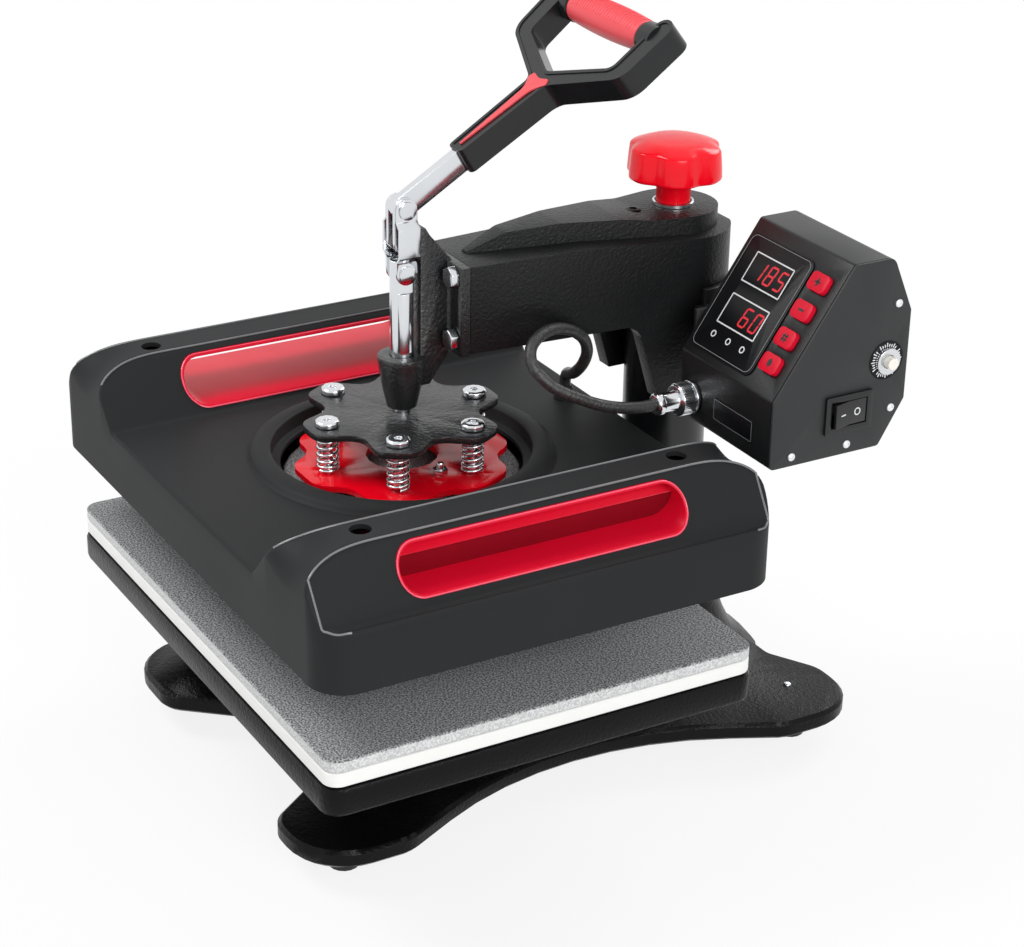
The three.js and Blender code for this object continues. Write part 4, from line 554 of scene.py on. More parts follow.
# Silicone sponge: a grey skin full of fine pores and light specks, and a paler cut edge.
sponge_skin, tree = empty_material("silicone_sponge")
place = add_node(tree, "ShaderNodeTexCoord").outputs["Object"]
pores = add_node(tree, "ShaderNodeTexNoise", {"Vector": place, "Scale": 850.0, "Detail": 3.0})
cloud = add_node(tree, "ShaderNodeTexNoise", {"Vector": place, "Scale": 14.0, "Detail": 3.0})
speck = add_node(tree, "ShaderNodeMapRange", {"Value": pores, "From Min": 0.4, "From Max": 0.62})
haze = add_node(tree, "ShaderNodeMapRange", {"Value": cloud, "To Min": 0.0, "To Max": 0.35})
skin = between(tree, speck, paint("3f4042"), paint("c2c3c4"))
skin = between(tree, haze, skin, paint("88898b"))
edge = between(tree, speck, paint("b9babb"), paint("dcdddd"))
height = add_node(tree, "ShaderNodeSeparateXYZ", {"Vector": place}).outputs["Z"]
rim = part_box("sponge_pad")[1].z
cut_edge = add_node(tree, "ShaderNodeMapRange", {
    "Value": height, "From Min": rim - 0.0016, "From Max": rim - 0.0008, "To Min": 1.0, "To Max": 0.0,
})
bump = add_node(tree, "ShaderNodeBump", {"Height": pores, "Strength": 0.8, "Distance": 0.0001})
finished(tree, {"Base Color": between(tree, cut_edge, skin, edge), "Roughness": 0.8, "Normal": bump})
pad_half_x, pad_half_y, pad_corner = 190, 145.5, 10
for node, skin, edge in (("silicone_pad", milky_silicone, 1.2), ("sponge_pad", sponge_skin, 1.4)):
    low, high = extent(node)
    mesh = soft_slab(pad_half_x, pad_half_y, pad_corner, low.z, high.z, edge)
    piece(node + "_layer", mesh, skin, "base", [node])

# Platen: cast aluminium with its heater inside, machined flat below and coated grey.
machined = surface("machined_aluminium", "a6a9ad", "9a9da1", 0.35, 1.0, grain=0.8,
                   relief=0.01)
dressed("heater_platen", machined, "platen", 0.3)

# Terminal pan: a pressed cap over the heater's terminals, in speckled hammer paint.
hammer, tree = empty_material("speckled_hammer_paint")
place = add_node(tree, "ShaderNodeTexCoord").outputs["Object"]
cells = add_node(tree, "ShaderNodeTexVoronoi", {"Vector": place, "Scale": 650.0})
grit = add_node(tree, "ShaderNodeTexNoise", {"Vector": place, "Scale": 1100.0, "Detail": 2.0})
speck = add_node(tree, "ShaderNodeMapRange", {"Value": grit, "From Min": 0.42, "From Max": 0.58})
tone = between(tree, speck, paint("3a3b3d"), paint("b4b5b6"))
bump = add_node(tree, "ShaderNodeBump", {"Height": cells, "Strength": 0.6, "Distance": 0.0002})
finished(tree, {"Base Color": tone, "Roughness": 0.45, "Normal": bump})
dressed("terminal_pan", hammer, "platen", 0.8)

# Red plate: laser-cut steel with six lobes on short bosses, in glossy red enamel.
red_gloss = surface("red_gloss_enamel", "fa0520", "f2041d", 0.18, grain=5, relief=0.02,
                    coat=0.2, shine=0.2)
dressed("red_plate", red_gloss, "platen", 0.5)

# Earth stud: a plated rod with two hexagon nuts, which stands beside the red plate.
stud_place = (40, 6, 0)
stud = lathed([(0.01, 206), (2.4, 206), (2.4, 226), (1.8, 227), (0.01, 227)], 24)
piece("earth_stud", moved(stud, stud_place), nickel, "platen")
for number, height in enumerate((214.3, 219.6)):
    nut = lathed([(2.5, height), (4.7, height), (4.9, height + 0.3), (4.9, height + 3.3),
                  (4.7, height + 3.6), (2.5, height + 3.6), (2.5, height)], 6)
    nut = moved(nut, ("Z", 0.3 + 0.5 * number), stud_place)
    piece(f"earth_stud_nut_{number + 1}", nut, nickel, "platen")

# Star plate: laser-cut steel with six lobes, in a wrinkled coat that glitters where it is lit.
wrinkle_coat = surface("wrinkle_powder_coat", "1a1b1c", "202122", 0.24, grain=2.4,
                       relief=0.6, shine=0.6)
dressed("star_plate", wrinkle_coat, "head", 0.5)

# Spindle: a turned and nickel-plated rod with a flattened head, and a nut under the star plate.
dressed("spindle_rod", nickel, "head", 0.35)

# Springs and bolts: six springs of music wire, wound with closed ends, press the platen down,
# and a plated bolt with a hexagon socket runs through each.
spring_rounds, spring_mean, wire_radius, spring_steps = 6.5, 6.2, 1.1, 160
closed_ends, hex_radius, hex_deep = 0.35, 2.6, 1.6
for number in range(1, 7):
    low, high = extent(f"spring_{number}")
    bolt_low, bolt_high = extent(f"plate_bolt_{number}")
    middle = (bolt_low + bolt_high) / 2
    points = []
    for step in range(spring_steps + 1):
        share = step / spring_steps
        turn = 2 * math.pi * spring_rounds * share + number
        rise = share - math.sin(2 * math.pi * share) * closed_ends / (2 * math.pi)
        points.append((
            middle.x + spring_mean * math.cos(turn), middle.y + spring_mean * math.sin(turn),
            low.z + wire_radius + rise * (high.z - low.z - 2 * wire_radius),
        ))
    wire = piece(f"spring_{number}_wire", tube(points, wire_radius, 10), nickel, "head",
                 [f"spring_{number}"])
    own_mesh(wire)
    recess = turned_rod(hex_radius, -hex_deep, 2, 6)
    recess = moved(recess, ("Z", number), (middle.x, middle.y, bolt_high.z))
    dressed(f"plate_bolt_{number}", nickel, "platen", 0.5, 3, cutters=[recess])


# Cover: one moulding in black ABS with a fine grain. Its two arch ridges are the handles that
# the head is swung by, and a collar frames the well.
def low_of(a, b, soft):
    """The lower of two heights, with a soft crease where they cross."""
    share = np.clip(0.5 + 0.5 * (b - a) / soft, 0, 1)
    return b + (a - b) * share - soft * share * (1 - share)


cover_half_x, cover_half_y, cover_corner, cover_edge = 200.8, 152.45, 22.3, 2.4
hem, crest = (corner.z for corner in extent("head_cover"))
ridge_tall = 36.2
roof = crest - ridge_tall
crease, end_crease, foot_crease = 3, 2.5, 1.5
inner_foot, inner_crest, outer_crest, outer_foot = 108.0, 141.0, 166.5, 190.4
ridge_straight, ridge_past_wall, ridge_middle, ridge_reach = 100.0, 1.5, 154.0, 32.0
arch_power, arch_squaring = 2.5, 1.7
gully_x, gully_half, gully_end, gully_fade, gully_depth = 194.5, 4.5, 146.0, 6.0, 2.2


def arch_share(x, y):
    """How much of a ridge's height its arched ends leave at a place, from 1 down to 0."""
    past = np.clip((y - ridge_straight) / (cover_half_y + ridge_past_wall - ridge_straight), 0, 1)
    power = arch_power + arch_squaring * np.minimum(1, ((x - ridge_middle) / ridge_reach) ** 2)
    return (1 - past**power) ** (1 / power)


def cover_height(x, y):
    """The height of the cover's skin: a flat roof, and two ridges whose ends fall in an arch."""
    x, y = np.abs(x), np.abs(y)
    inner = roof + (x - inner_foot) * ridge_tall / (inner_crest - inner_foot)
    outer = roof + (outer_foot - x) * ridge_tall / (outer_foot - outer_crest)
    ridge = low_of(low_of(inner, outer, crease), crest, crease)
    ridge = low_of(ridge, roof + ridge_tall * arch_share(x, y), end_crease)
    gully = np.clip(1 - np.abs(x - gully_x) / gully_half, 0, 1)
    gully = gully_depth * gully * np.clip((gully_end - y) / gully_fade, 0, 1)
    return -low_of(-ridge, -roof, foot_crease) - gully


def cover_skin():
    """The roof as rings round the rim and a grid inside them, with the walls hung from it."""
    core_x, core_y = (round(half - cover_corner, 3) for half in (cover_half_x, cover_half_y))
    xs, ys = (
        np.unique(np.concatenate([
            np.linspace(-core, core, count), *[s * np.arange(ridge, core, step) for s in (-1, 1)],
            [core],
        ]).round(3))
        for core, count, ridge, step in ((core_x, 60, 104, 1.4), (core_y, 40, 98, 1.6))
    )
    grid = [(x, y) for y in ys for x in xs]
    where = {place: i for i, place in enumerate(grid)}
    x, y = np.array(grid).T
    points = np.column_stack([x, y, cover_height(x, y)]).tolist()
    faces = [
        (where[(a, c)], where[(b, c)], where[(b, d)], where[(a, d)])
        for a, b in zip(xs, xs[1:]) for c, d in zip(ys, ys[1:])
    ]
    rim, corner_steps = [], 14
    for side, line in (((1, 0), ys), ((0, 1), xs[::-1]), ((-1, 0), ys[::-1]), ((0, -1), xs)):
        heading = math.atan2(side[1], side[0])
        rim += [((side[0] * core_x or value, side[1] * core_y or value), heading) for value in line]
        for k in range(1, corner_steps):
            rim.append((rim[-1][0], heading + k / corner_steps * math.pi / 2))
    previous = [where[at] for at, _ in rim]
    insets = [18, 14.5, 12, 11, 10, 9, 8, 6.5, 5, 3.9, 3, 2.3, 1.7, 1.2, 0.75, 0.4, 0.15, 0]
    walls = [(0, cover_edge + 8), (0, (roof - hem) / 2), (0, roof - hem - 0.8), (0.8, roof - hem)]
    for inset, drop in [*((inset, None) for inset in insets), *walls]:
        out = cover_corner - inset
        x, y = np.array([(at[0] + out * math.cos(a), at[1] + out * math.sin(a)) for at, a in rim]).T
        if drop is None:
            inward = max(cover_edge - inset, 0)
            height = cover_height(x, y) - (cover_edge - math.sqrt(cover_edge**2 - inward**2))
        else:
            height = roof - drop + 0 * x
        ring = list(range(len(points), len(points) + len(rim)))
        points += np.column_stack([x, y, height]).tolist()
        for k, here in enumerate(ring):
            after = (k + 1) % len(ring)
            quad = (previous[k], here, ring[after], previous[after])
            faces.append(quad if quad[0] != quad[3] else quad[:3])
        previous = ring
    return welded(points, faces, roof - 1)


slot_half, slot_low, slot_high, slot_end = 96.3, roof + 2.9, roof + 32.1, 14.3
slot_middle, slot_rise = (slot_low + slot_high) / 2, (slot_high - slot_low) / 2


def slot_prism(inset, x0, x1, steps=10):
    """A prism along X with a finger slot's outline, drawn in by an inset."""
    section = rounded_ring(slot_half - inset, slot_rise - inset, slot_end - inset, 0, steps)
    return stacked([[(x, y, slot_middle + s) for y, s, _ in section] for x in (x0, x1)])


collar_hole = 84.0
cup_x, cup_y, cup_hole = 152.3, 105.4, 6.5
cups = [(sx * cup_x, sy * cup_y) for sx in (-1, 1) for sy in (-1, 1)]
cover_cutters = [
    slot_prism(0, 100, 200), slot_prism(0, -200, -100), turned_rod(collar_hole, hem, crest, 128, 0),
    *(moved(turned_rod(cup_hole, roof, crest + 9, 32, 0), (*cup, 0)) for cup in cups),
]
cover_mesh = cut(worked(cover_skin(), ("SOLIDIFY", {
    "thickness": 3.0, "offset": -1, "use_even_offset": False,
})), cover_cutters)
# Moulded ABS with a spark-eroded grain: dark grey rather than black, with a wide dull sheen.
grained_abs = surface("grained_abs", "242526", "28292a", 0.5, grain=0.9,
                      relief=0.08, blotch=60, shine=0.1)
piece("head_cover_shell", cover_mesh, grained_abs, "platen", ["head_cover"], 42)
# Beads: a fine polished line stands along each facet's rim, where the mould's halves met. Their pale
# grey colour is a painted highlight.
highlight_bead_abs = surface("painted_highlight_abs", "737476", "7a7b7d", 0.22, grain=3,
                    relief=0.01, shine=0.5)


def meets_arch(foot, top, y):
    """How far out the arch cuts a slope at a distance y from the middle."""
    x = top
    for _ in range(30):
        x = x * 0.5 + 0.5 * (foot + arch_share(x, y) * (top - foot))
    return x


bead_radius, bead_lift, bead_sink, bend_radius = 0.7, 0.25, 0.35, cover_corner - 1.0
for side, name in ((-1, "left"), (1, "right")):
    for label, foot, top, ends in (("outer", outer_foot, outer_crest, 148.6),
                                   ("inner", inner_foot, inner_crest, 149.0)):
        path = []
        for y in np.linspace(-ends, ends, 220):
            x = meets_arch(foot, top, abs(y))
            path.append((side * x, y, cover_height(x, y) + bead_lift))
        if label == "outer":
            for end in (-1, 1):
                turned_down = []
                for a in np.linspace(math.radians(58), math.radians(12), 14):
                    x = cover_half_x - cover_corner + bend_radius * math.cos(a)
                    y = end * (cover_half_y - cover_corner + bend_radius * math.sin(a))
                    turned_down.append((side * x, y, cover_height(x, y) - bead_sink))
                path = path + turned_down if end > 0 else turned_down[::-1] + path
        piece(f"cover_bead_{name}_{label}", tube(path, bead_radius, 8), highlight_bead_abs, "platen")
collar_profile = [
    (76.7, roof - 7.8), (85.2, roof - 7.8), (85.2, roof - 2.5), (97, roof - 0.6), (98.4, roof + 0.05),
    (97.2, roof + 0.6), (95.8, roof + 2.2), (94.3, roof + 3.6), (92, roof + 4.5), (88, roof + 5.1),
    (84.8, roof + 5.2), (83.3, roof + 4.9), (82.5, roof + 4.2), (82.2, roof + 3.2), (82.2, roof - 4.4),
    (81.8, roof - 4.8), (77.4, roof - 4.8), (76.8, roof - 5.2), (76.7, roof - 7.8),
]
piece("head_cover_collar", lathed(collar_profile, 160), grained_abs, "platen", sharp=50)

# Liners: a red moulding clipped into each finger slot, its rim standing just proud of the ridge.
# The right one is a trough, as it is seen from outside, with a sheet of painted shade at its back.
red_moulding = surface("red_moulded_abs", "dd0e30", "d40c2c", 0.32, grain=2.5,
                       relief=0.02, shine=0.2)
dressed("grip_liner_left", red_moulding, "platen", 0.35)


def along_y(section, half):
    """A prism along Y from a section of x and z."""
    return stacked([[(x, y, z) for x, z in section] for y in (-half, half)])


def slope_x(z, foot, top):
    """How far out a ridge's slope stands at a height."""
    return foot + (z - roof) / (crest - roof) * (top - foot)


low, high, liner_fit, liner_wall = roof - 5, crest + 5, 0.3, 2
before = [(slope_x(low, inner_foot, inner_crest) - 0.2, low),
          (slope_x(high, inner_foot, inner_crest) - 0.2, high), (90, high), (90, low)]
beyond = [(slope_x(low, outer_foot, outer_crest) + 0.9, low), (230, low), (230, high),
          (slope_x(high, outer_foot, outer_crest) + 0.9, high)]
rear = [(140, roof), (160, roof), (165, roof + 20), (152, roof + 31), (152, crest), (140, crest)]
hollow = cut(slot_prism(liner_wall, 150, 210, 14), [along_y(rear, 120)])
trough = cut(slot_prism(liner_fit, 104, 200), [
    along_y(before, 120), along_y(beyond, 120), slot_prism(liner_wall, 96, 147, 14), hollow,
])
piece("grip_liner_right_trough", softened(trough, 0.4), red_moulding, "platen", ["grip_liner_right"])
# A dark red sheet at the trough's back is painted shade, dull and deep red, so the back of the slot
# looks dark.
painted_shade_red = surface("painted_shade_red_abs", "8a0a1d", "7a0819", 0.6, grain=2, relief=0.03,
                   shine=0.1)
shade_sheet = [(159.5, roof + 1), (164.6, roof + 20), (165.4, roof + 19.6), (161, roof + 1)]
shade_sheet = cut(along_y(shade_sheet, 95), [slot_prism(1.9, 150, 210, 14)], "INTERSECT")
piece("grip_liner_right_web", shade_sheet, painted_shade_red, "platen")
# The rims are polished, and painted a pale pink as a painted highlight, so a thin bright line runs
# round each opening.
highlight_rim_red = surface("painted_highlight_red_abs", "ff5a74", "f9506b", 0.2, grain=3, relief=0.01,
                  shine=0.5)
rim_inset, rim_radius = 0.7, 0.55
flat = rounded_ring(slot_half - rim_inset, slot_rise - rim_inset, slot_end - rim_inset, 0, 10)
for side, name in ((-1, "left"), (1, "right")):
    for label, foot, top, lift in (("outer", outer_foot, outer_crest, 0.7),
                                   ("inner", inner_foot, inner_crest, -0.7)):
        loop = [(side * (slope_x(slot_middle + s, foot, top) + lift), y, slot_middle + s)
                for y, s, _ in flat]
        rim = tube(loop, rim_radius, 8, Vector((side, 0, 0)))
        piece(f"slot_rim_{name}_{label}", rim, highlight_rim_red, "platen")

# Bracket and arm: two iron castings that four bolts hold together. The arm has the base's coarse
# coat in a copy painted paler as painted light, the bracket the star plate's wrinkles, and the sheet a
# fine grain.
lit_copy_coarse_enamel = surface("coarse_powder_coat", "151617", "1b1c1d", 0.34, grain=2.1,
                        relief=0.5, blotch=40, shine=0.22)
fine_enamel = surface("fine_powder_coat", "1c1d1f", "212224", 0.36, grain=1.2,
                      relief=0.16, shine=0.4)
dressed("head_bracket", wrinkle_coat, "arm", 0.8, 3)
dressed("arm_housing", lit_copy_coarse_enamel, "arm", 2.2, 4)
dressed("box_bracket", fine_enamel, "arm", 0.5)
for number in range(1, 5):
    dressed(f"bracket_bolt_{number}", nickel, "arm", 0.6, 3)

# Knob: a red phenolic moulding with six lobes and a domed top, on a round neck.
knob_low, knob_high = extent("pressure_knob")
knob_tall, flute_from, flute_reach = 25.4, 22, 7.5
knob_hem = knob_high.z - knob_tall
knob_profile = [
    (11.3, knob_low.z - knob_hem), (11.3, -1.2), (12.6, 0), (24, 0), (29.2, 0), (30.8, 0.5),
    (31.6, 1.4), (31.8, 2.6), (31.5, 8), (31.0, 14), (30.5, 18.4), (30.2, 19.4), (29.4, 20.2),
    (28, 20.9), (24, 22.5), (20, 23.7), (16.5, 24.4), (14, 24.6), (10, 25.1), (5, 25.35),
    (0.01, knob_tall),
]
knob_lobes, knob_flute, knob_turn = 6, 3.0, math.radians(31.3)
rings = []
for radius, height in knob_profile:
    depth = knob_flute * min(1, max(0, (radius - flute_from) / flute_reach))
    rings.append(circle(radius, knob_hem + height, 240, knob_lobes, depth, knob_turn))
knob_mesh = moved(stacked(rings), (0, column_y, 0))
# Phenolic moulding: strong red, glossy, with a faint orange peel.
red_phenolic = surface("red_phenolic", "ff0420", "fa031e", 0.18, grain=6, relief=0.04,
                       shine=0.3)
piece("pressure_knob_moulding", knob_mesh, red_phenolic, "knob", ["pressure_knob"], 50)

# Seat of the knob: a bright washer on the boss, and a black socket screw ahead of it.
washer_top = knob_low.z - 0.2
seat_profile = [
    (12.2, washer_top - 1.8), (13.4, washer_top - 1.8), (13.4, washer_top), (13, washer_top + 0.3),
    (12.2, washer_top + 0.3), (12.2, washer_top - 1.8),
]
piece("knob_seat_ring", moved(lathed(seat_profile, 64), (0, column_y, 0)), nickel, "arm")
# Blackened steel: matt black oxide that keeps a dull metal sheen.
black_oxide = surface("black_oxide_steel", "1b1b1c", "232324", 0.38, 1.0, grain=0.8,
                      relief=0.01)
screws("arm_socket_screw", screw_head(5.2, 1.0, 5.0, 1.3, 0.4), [((0, 166.7, 354.1), (0, 0, 1))],
       black_oxide, "arm")
screws("cover_cup_screws", screw_head(4.6, 2.2, 3.0, 1.2),
       [((*cup, roof + 3), (0, 0, 1)) for cup in cups], black_oxide, "platen", 3)

# Lever: flat plated bar welded to two crank plates, with the pin that carries the links.
dressed("lever_bar", nickel, "lever", 0.4)
for side in ("left", "right"):
    dressed("link_" + side, nickel, "links", 0.35)


# Handle: a black nylon D moulded on the bar. A rim stands round its face, and a coral inlay
# fills the stem's groove.
def parted(corners, by):
    """The corners of an outline drawn in by a distance. It runs counter-clockwise."""
    found = []
    for i, (x, y, r) in enumerate(corners):
        before, after = Vector(corners[i - 1][:2]), Vector(corners[(i + 1) % len(corners)][:2])
        here = Vector((x, y))
        a, b = (here - before).normalized(), (after - here).normalized()
        inward = Vector((-a.y - b.y, a.x + b.x)) / (1 + a.dot(b))
        outer = a.x * b.y - a.y * b.x > 0
        found.append((*(here + inward * by), max(r - by, 0.4) if outer else r + by))
    return found


def rounded_outline(corners, steps=8):
    """Points round an outline whose corners, each with its radius, are turned in arcs."""
    points = []
    for i, (x, y, r) in enumerate(corners):
        here = Vector((x, y))
        a = (here - Vector(corners[i - 1][:2])).normalized()
        b = (Vector(corners[(i + 1) % len(corners)][:2]) - here).normalized()
        turn = math.atan2(a.x * b.y - a.y * b.x, a.dot(b))
        cut_back = r * math.tan(abs(turn) / 2)
        side = math.copysign(r, turn)
        centre = here - a * cut_back + Vector((-a.y, a.x)) * side
        for k in range(steps + 1):
            angle = turn * k / steps
            spoke = Vector((a.y, -a.x)) * side
            points.append((
                centre.x + spoke.x * math.cos(angle) - spoke.y * math.sin(angle),
                centre.y + spoke.x * math.sin(angle) + spoke.y * math.cos(angle),
            ))
    return points


def prism(corners, low, high):
    """A flat moulding with an outline, from one height to another."""
    outline = rounded_outline(corners)
    return stacked([[(x, y, z) for x, y in outline] for z in (low, high)])


def mirrored(half):
    """An outline's right half, followed by its mirror image."""
    return half + [(-x, y, r) for x, y, r in reversed(half)]


lever_slope, lever_bend, bend_start, bend_half = math.radians(31), math.radians(7), 115.0, 6
crank_pin = 382.0


def on_lever(mesh):
    """Sets a mesh drawn across and along the handle in its place, bent up past the stem."""
    for vertex in mesh.vertices:
        x, s, h = vertex.co
        share = min(1, max(0, (s - bend_start + bend_half) / (2 * bend_half)))
        bend = lever_bend * share * share * (3 - 2 * share)
        past = s - bend_start
        y = bend_start + past * math.cos(bend) - h * math.sin(bend)
        z = past * math.sin(bend) + h * math.cos(bend)
        vertex.co = (
            x, y * math.cos(lever_slope) - z * math.sin(lever_slope),
            crank_pin + y * math.sin(lever_slope) + z * math.cos(lever_slope),
        )
    return mesh


handle_half, rim_width, rim_height = 8.7, 2.4, 0.7
handle_corners = mirrored([
    (7.6, 47.1, 3.6), (9.5, 115, 9), (63.5, 140, 15), (66, 188, 8.2), (49.5, 188, 7.6), (48, 144, 7),
    (1.2, 124.5, 5),
])
face_cut = moved(prism(parted(handle_corners, rim_width), 0, 5), (0, 0, handle_half - rim_height))
sleeve = prism([(-3.4, 40, 0.3), (3.4, 40, 0.3), (3.4, 77, 0.3), (-3.4, 77, 0.3)], -7.7, 7.7)
handle_mesh = cut(prism(handle_corners, -handle_half, handle_half), [face_cut, sleeve])
grip_place, hub_radius, core_radius, grip_half, hub_end = 176.0, 10.3, 5.0, 40.0, 54
lengthwise = Matrix.Translation((0, grip_place, 0)) @ Matrix.Rotation(math.pi / 2, 4, "Y")
hubs = [
    lathed([(0.01, side * (grip_half + 0.3)), (hub_radius - 0.8, side * (grip_half + 0.3)),
            (hub_radius, side * (grip_half + 1.1)), (hub_radius, side * hub_end),
            (0.01, side * hub_end)], 40)
    for side in (-1, 1)
]
joined = [moved(part, lengthwise) for part in (*hubs, turned_rod(core_radius, -50, 50, 24))]
handle_mesh = softened(cut(handle_mesh, joined, "UNION"), 0.9, 3)
# Nylon out of a polished mould: deep black, with thin bright lines where its edges turn.
satin_nylon = surface("satin_nylon", "141517", "18191b", 0.26, grain=2,
                      relief=0.02, shine=0.4)
piece("d_handle_moulding", on_lever(handle_mesh), satin_nylon, "lever", ["d_handle"], 30)

# Grip and inlay: soft coral rubber moulded over the core. Ribs cross the grip's underside, and
# five long bars lie in a panel on its top.
soft_coral = surface("soft_touch_coral", "f0585f", "ec525a", 0.42, grain=1.2,
                     relief=0.03, shine=0.35)
belly_radius, end_radius = 11.4, 9.8


def grip_radius(x):
    """The grip's radius at a distance from its middle: it is barrelled."""
    return end_radius + (belly_radius - end_radius) * (1 - (x / grip_half) ** 2)


grip_profile = [(core_radius + 0.3, -grip_half), (end_radius - 1, -grip_half)]
grip_profile += [(grip_radius(x) - 0.25, x) for x in np.linspace(-grip_half + 0.8, grip_half - 0.8, 33)]
grip_profile += [(end_radius - 1, grip_half), (core_radius + 0.3, grip_half), grip_profile[0]]
grip = on_lever(moved(lathed(grip_profile, 72), lengthwise))
piece("hand_grip_sleeve", grip, soft_coral, "lever", ["hand_grip"])
rib_reach, rib_radius = math.radians(62), 0.055
rib_path = [
    (math.cos(t), math.sin(t), 0) for t in np.linspace(math.pi - rib_reach, math.pi + rib_reach, 25)
]
rib_places = np.linspace(-grip_half + 5, grip_half - 5, 25)
ribs = planted("grip_ribs", tube(rib_path, rib_radius, 8),
               [((0, 0, x), (0, 0, 1)) for x in rib_places], soft_coral,
               sizes=[grip_radius(x) - 0.25 for x in rib_places])
ribs = on_lever(moved(ribs, ("Z", math.radians(-38)), lengthwise))
piece("hand_grip_ribs", ribs, soft_coral, "lever")
bar_half, bar_radius = 16, 0.42
for number in range(5):
    angle = math.radians(-6 + 7 * number)
    path = [
        ((grip_radius(x) - 0.1) * math.cos(angle), (grip_radius(x) - 0.1) * math.sin(angle), x)
        for x in np.linspace(-bar_half, bar_half, 9)
    ]
    bar = on_lever(moved(tube(path, bar_radius, 8), lengthwise))
    piece(f"hand_grip_bar_{number + 1}", bar, soft_coral, "lever")
inlay_corners = mirrored([
    (0.5, 52, 0.3), (3.5, 106, 14), (10.4, 115.2, 1.5), (8.4, 119.6, 1.8), (1.5, 117.6, 4),
])
inlay = prism(inlay_corners, handle_half - rim_height + 0.05, handle_half + 0.7)
piece("handle_inlay_strip", on_lever(softened(inlay, 0.35)), soft_coral, "lever", ["handle_inlay"])

# Control box: folded sheet steel in fine black powder coat, closed by a screwed end plate.
shell_coat = surface("shell_powder_coat", "141516", "191a1b", 0.36, grain=1.1,
                     relief=0.12, shine=0.3)
sheet_coat = surface("sheet_powder_coat", "2a2b2c", "2f3031", 0.42, grain=0.9,
                     relief=0.06, shine=0.3)
dressed("box_shell", shell_coat, "arm", 0.8, 3)
dressed("box_end_plate", sheet_coat, "arm", 0.4)
board_mask = surface("solder_mask", "1f6b3a", "1c6236", 0.35, grain=3, relief=0.02)
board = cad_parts["controller_board"].data
board.materials.clear()
board.materials.append(board_mask)
# Polycarbonate film: black with a satin sheen, so a lamp makes no glare on it.
satin_film = surface("satin_polycarbonate_film", "0a0b0d", "0c0d10", 0.34, grain=2,
                     relief=0.01, shine=0.2)
dressed("display_panel", satin_film, "arm", 0.25)
button_bodies = ("button_up", "button_down", "button_mode", "button_timer")
for number, body in enumerate(button_bodies, 1):
    dressed(f"button_{number}", red_moulding, body, 0.8, 3)


# Print on the display: two framed windows, lit digits, three lamp rings and a border line.
def together(meshes):
    """Several meshes as one."""
    bm = bmesh.new()
    for mesh in meshes:
        bm.from_mesh(mesh)
    one = bpy.data.meshes.new("together")
    bm.to_mesh(one)
    bm.free()
    return one


def flat_frame(x0, x1, s0, s1, corner, width, low, high):
    """A thin printed frame: a rectangle with round corners, open inside."""
    half_x, half_s = (x1 - x0) / 2, (s1 - s0) / 2
    rings = [
        rounded_ring(half_x - inset, half_s - inset, corner - inset, z, 6)
        for inset, z in ((0, low), (0, high), (width, high), (width, low))
    ]
    return moved(stacked(rings, closed=True), ((x0 + x1) / 2, (s0 + s1) / 2, 0))


def stroke(start, end, width, low, high):
    """A straight bar with pointed ends, as a lamp segment or a printed stroke is."""
    a, b = Vector(start), Vector(end)
    along = (b - a).normalized() * width / 2
    side = Vector((-along.y, along.x))
    outline = (a, a + along - side, b - along - side, b, b - along + side, a + along + side)
    return stacked([[(p.x, p.y, z) for p in outline] for z in (low, high)])


box_tilt = math.atan2(78.7, 54.5)
on_slope = Matrix.Translation((0, 163.4, 284)) @ Matrix.Rotation(box_tilt, 4, "X")


def slope_box(node):
    """The box of a CAD node, measured along the slope of the control box."""
    to_slope = on_slope.inverted() @ in_row.inverted()
    points = np.array([to_slope @ vertex.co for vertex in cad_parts[node].data.vertices])
    return points.min(0), points.max(0)


film = slope_box("display_panel")[1][2]
# Screen-printed ink: flat white, with no relief of its own.
white_ink = surface("white_screen_ink", "e9eaec", "dfe0e2", 0.5, grain=1, relief=0.004)
ink = (film - 0.1, film + 0.08)
prints = [flat_frame(85, 124.6, s0, s1, 0.6, 0.9, *ink) for s0, s1 in ((55, 76), (25.4, 46.4))]
prints += [moved(turned_ring(1.5, 2.3, *ink, 32), (x, 18, 0)) for x in (88.8, 104.6, 119.7)]
piece("display_print", moved(together(prints), on_slope), white_ink, "arm")
grey_ink = surface("grey_screen_ink", "8d8f92", "858789", 0.5, grain=1, relief=0.004)
border = flat_frame(73.4, 135.6, 7, 85, 5, 0.35, film - 0.1, film + 0.06)
piece("display_border", moved(border, on_slope), grey_ink, "arm")
# Lit digit bars: a deep red that glows a little, as a lamp segment does behind tinted film.
lit_red, tree = empty_material("lit_lamp_segment")
grain = add_node(tree, "ShaderNodeTexNoise", {
    "Vector": add_node(tree, "ShaderNodeTexCoord").outputs["Object"], "Scale": 900.0,
})
tone = between(tree, grain, paint("b3101f"), paint("d21a2b"))
finished(tree, {
    "Base Color": tone, "Roughness": 0.4, "Emission Color": tone, "Emission Strength": 0.45,
})
digit_bars = {"0": "abcdef", "1": "bc", "5": "acdfg", "6": "acdefg", "8": "abcdefg"}
bar_ends = {
    "a": ((0, 2), (1, 2)), "b": ((1, 1), (1, 2)), "c": ((1, 0), (1, 1)), "d": ((0, 0), (1, 0)),
    "e": ((0, 0), (0, 1)), "f": ((0, 1), (0, 2)), "g": ((0, 1), (1, 1)),
}
digit_wide, digit_tall, digit_pitch, digit_lean = 6.1, 6.1, 10.8, math.tan(math.radians(8))
bars = []
last_x, bar_wide = 114.6, 1.35
for digits, base in (("185", 59.4), ("60", 29.8)):
    for place, digit in enumerate(reversed(digits)):
        for name in digit_bars[digit]:
            ends = [
                (last_x - place * digit_pitch + x * digit_wide + y * digit_tall * digit_lean,
                 base + y * digit_tall) for x, y in bar_ends[name]
            ]
            bars.append(stroke(*ends, bar_wide, *ink))
piece("display_digits", moved(together(bars), on_slope), lit_red, "arm")

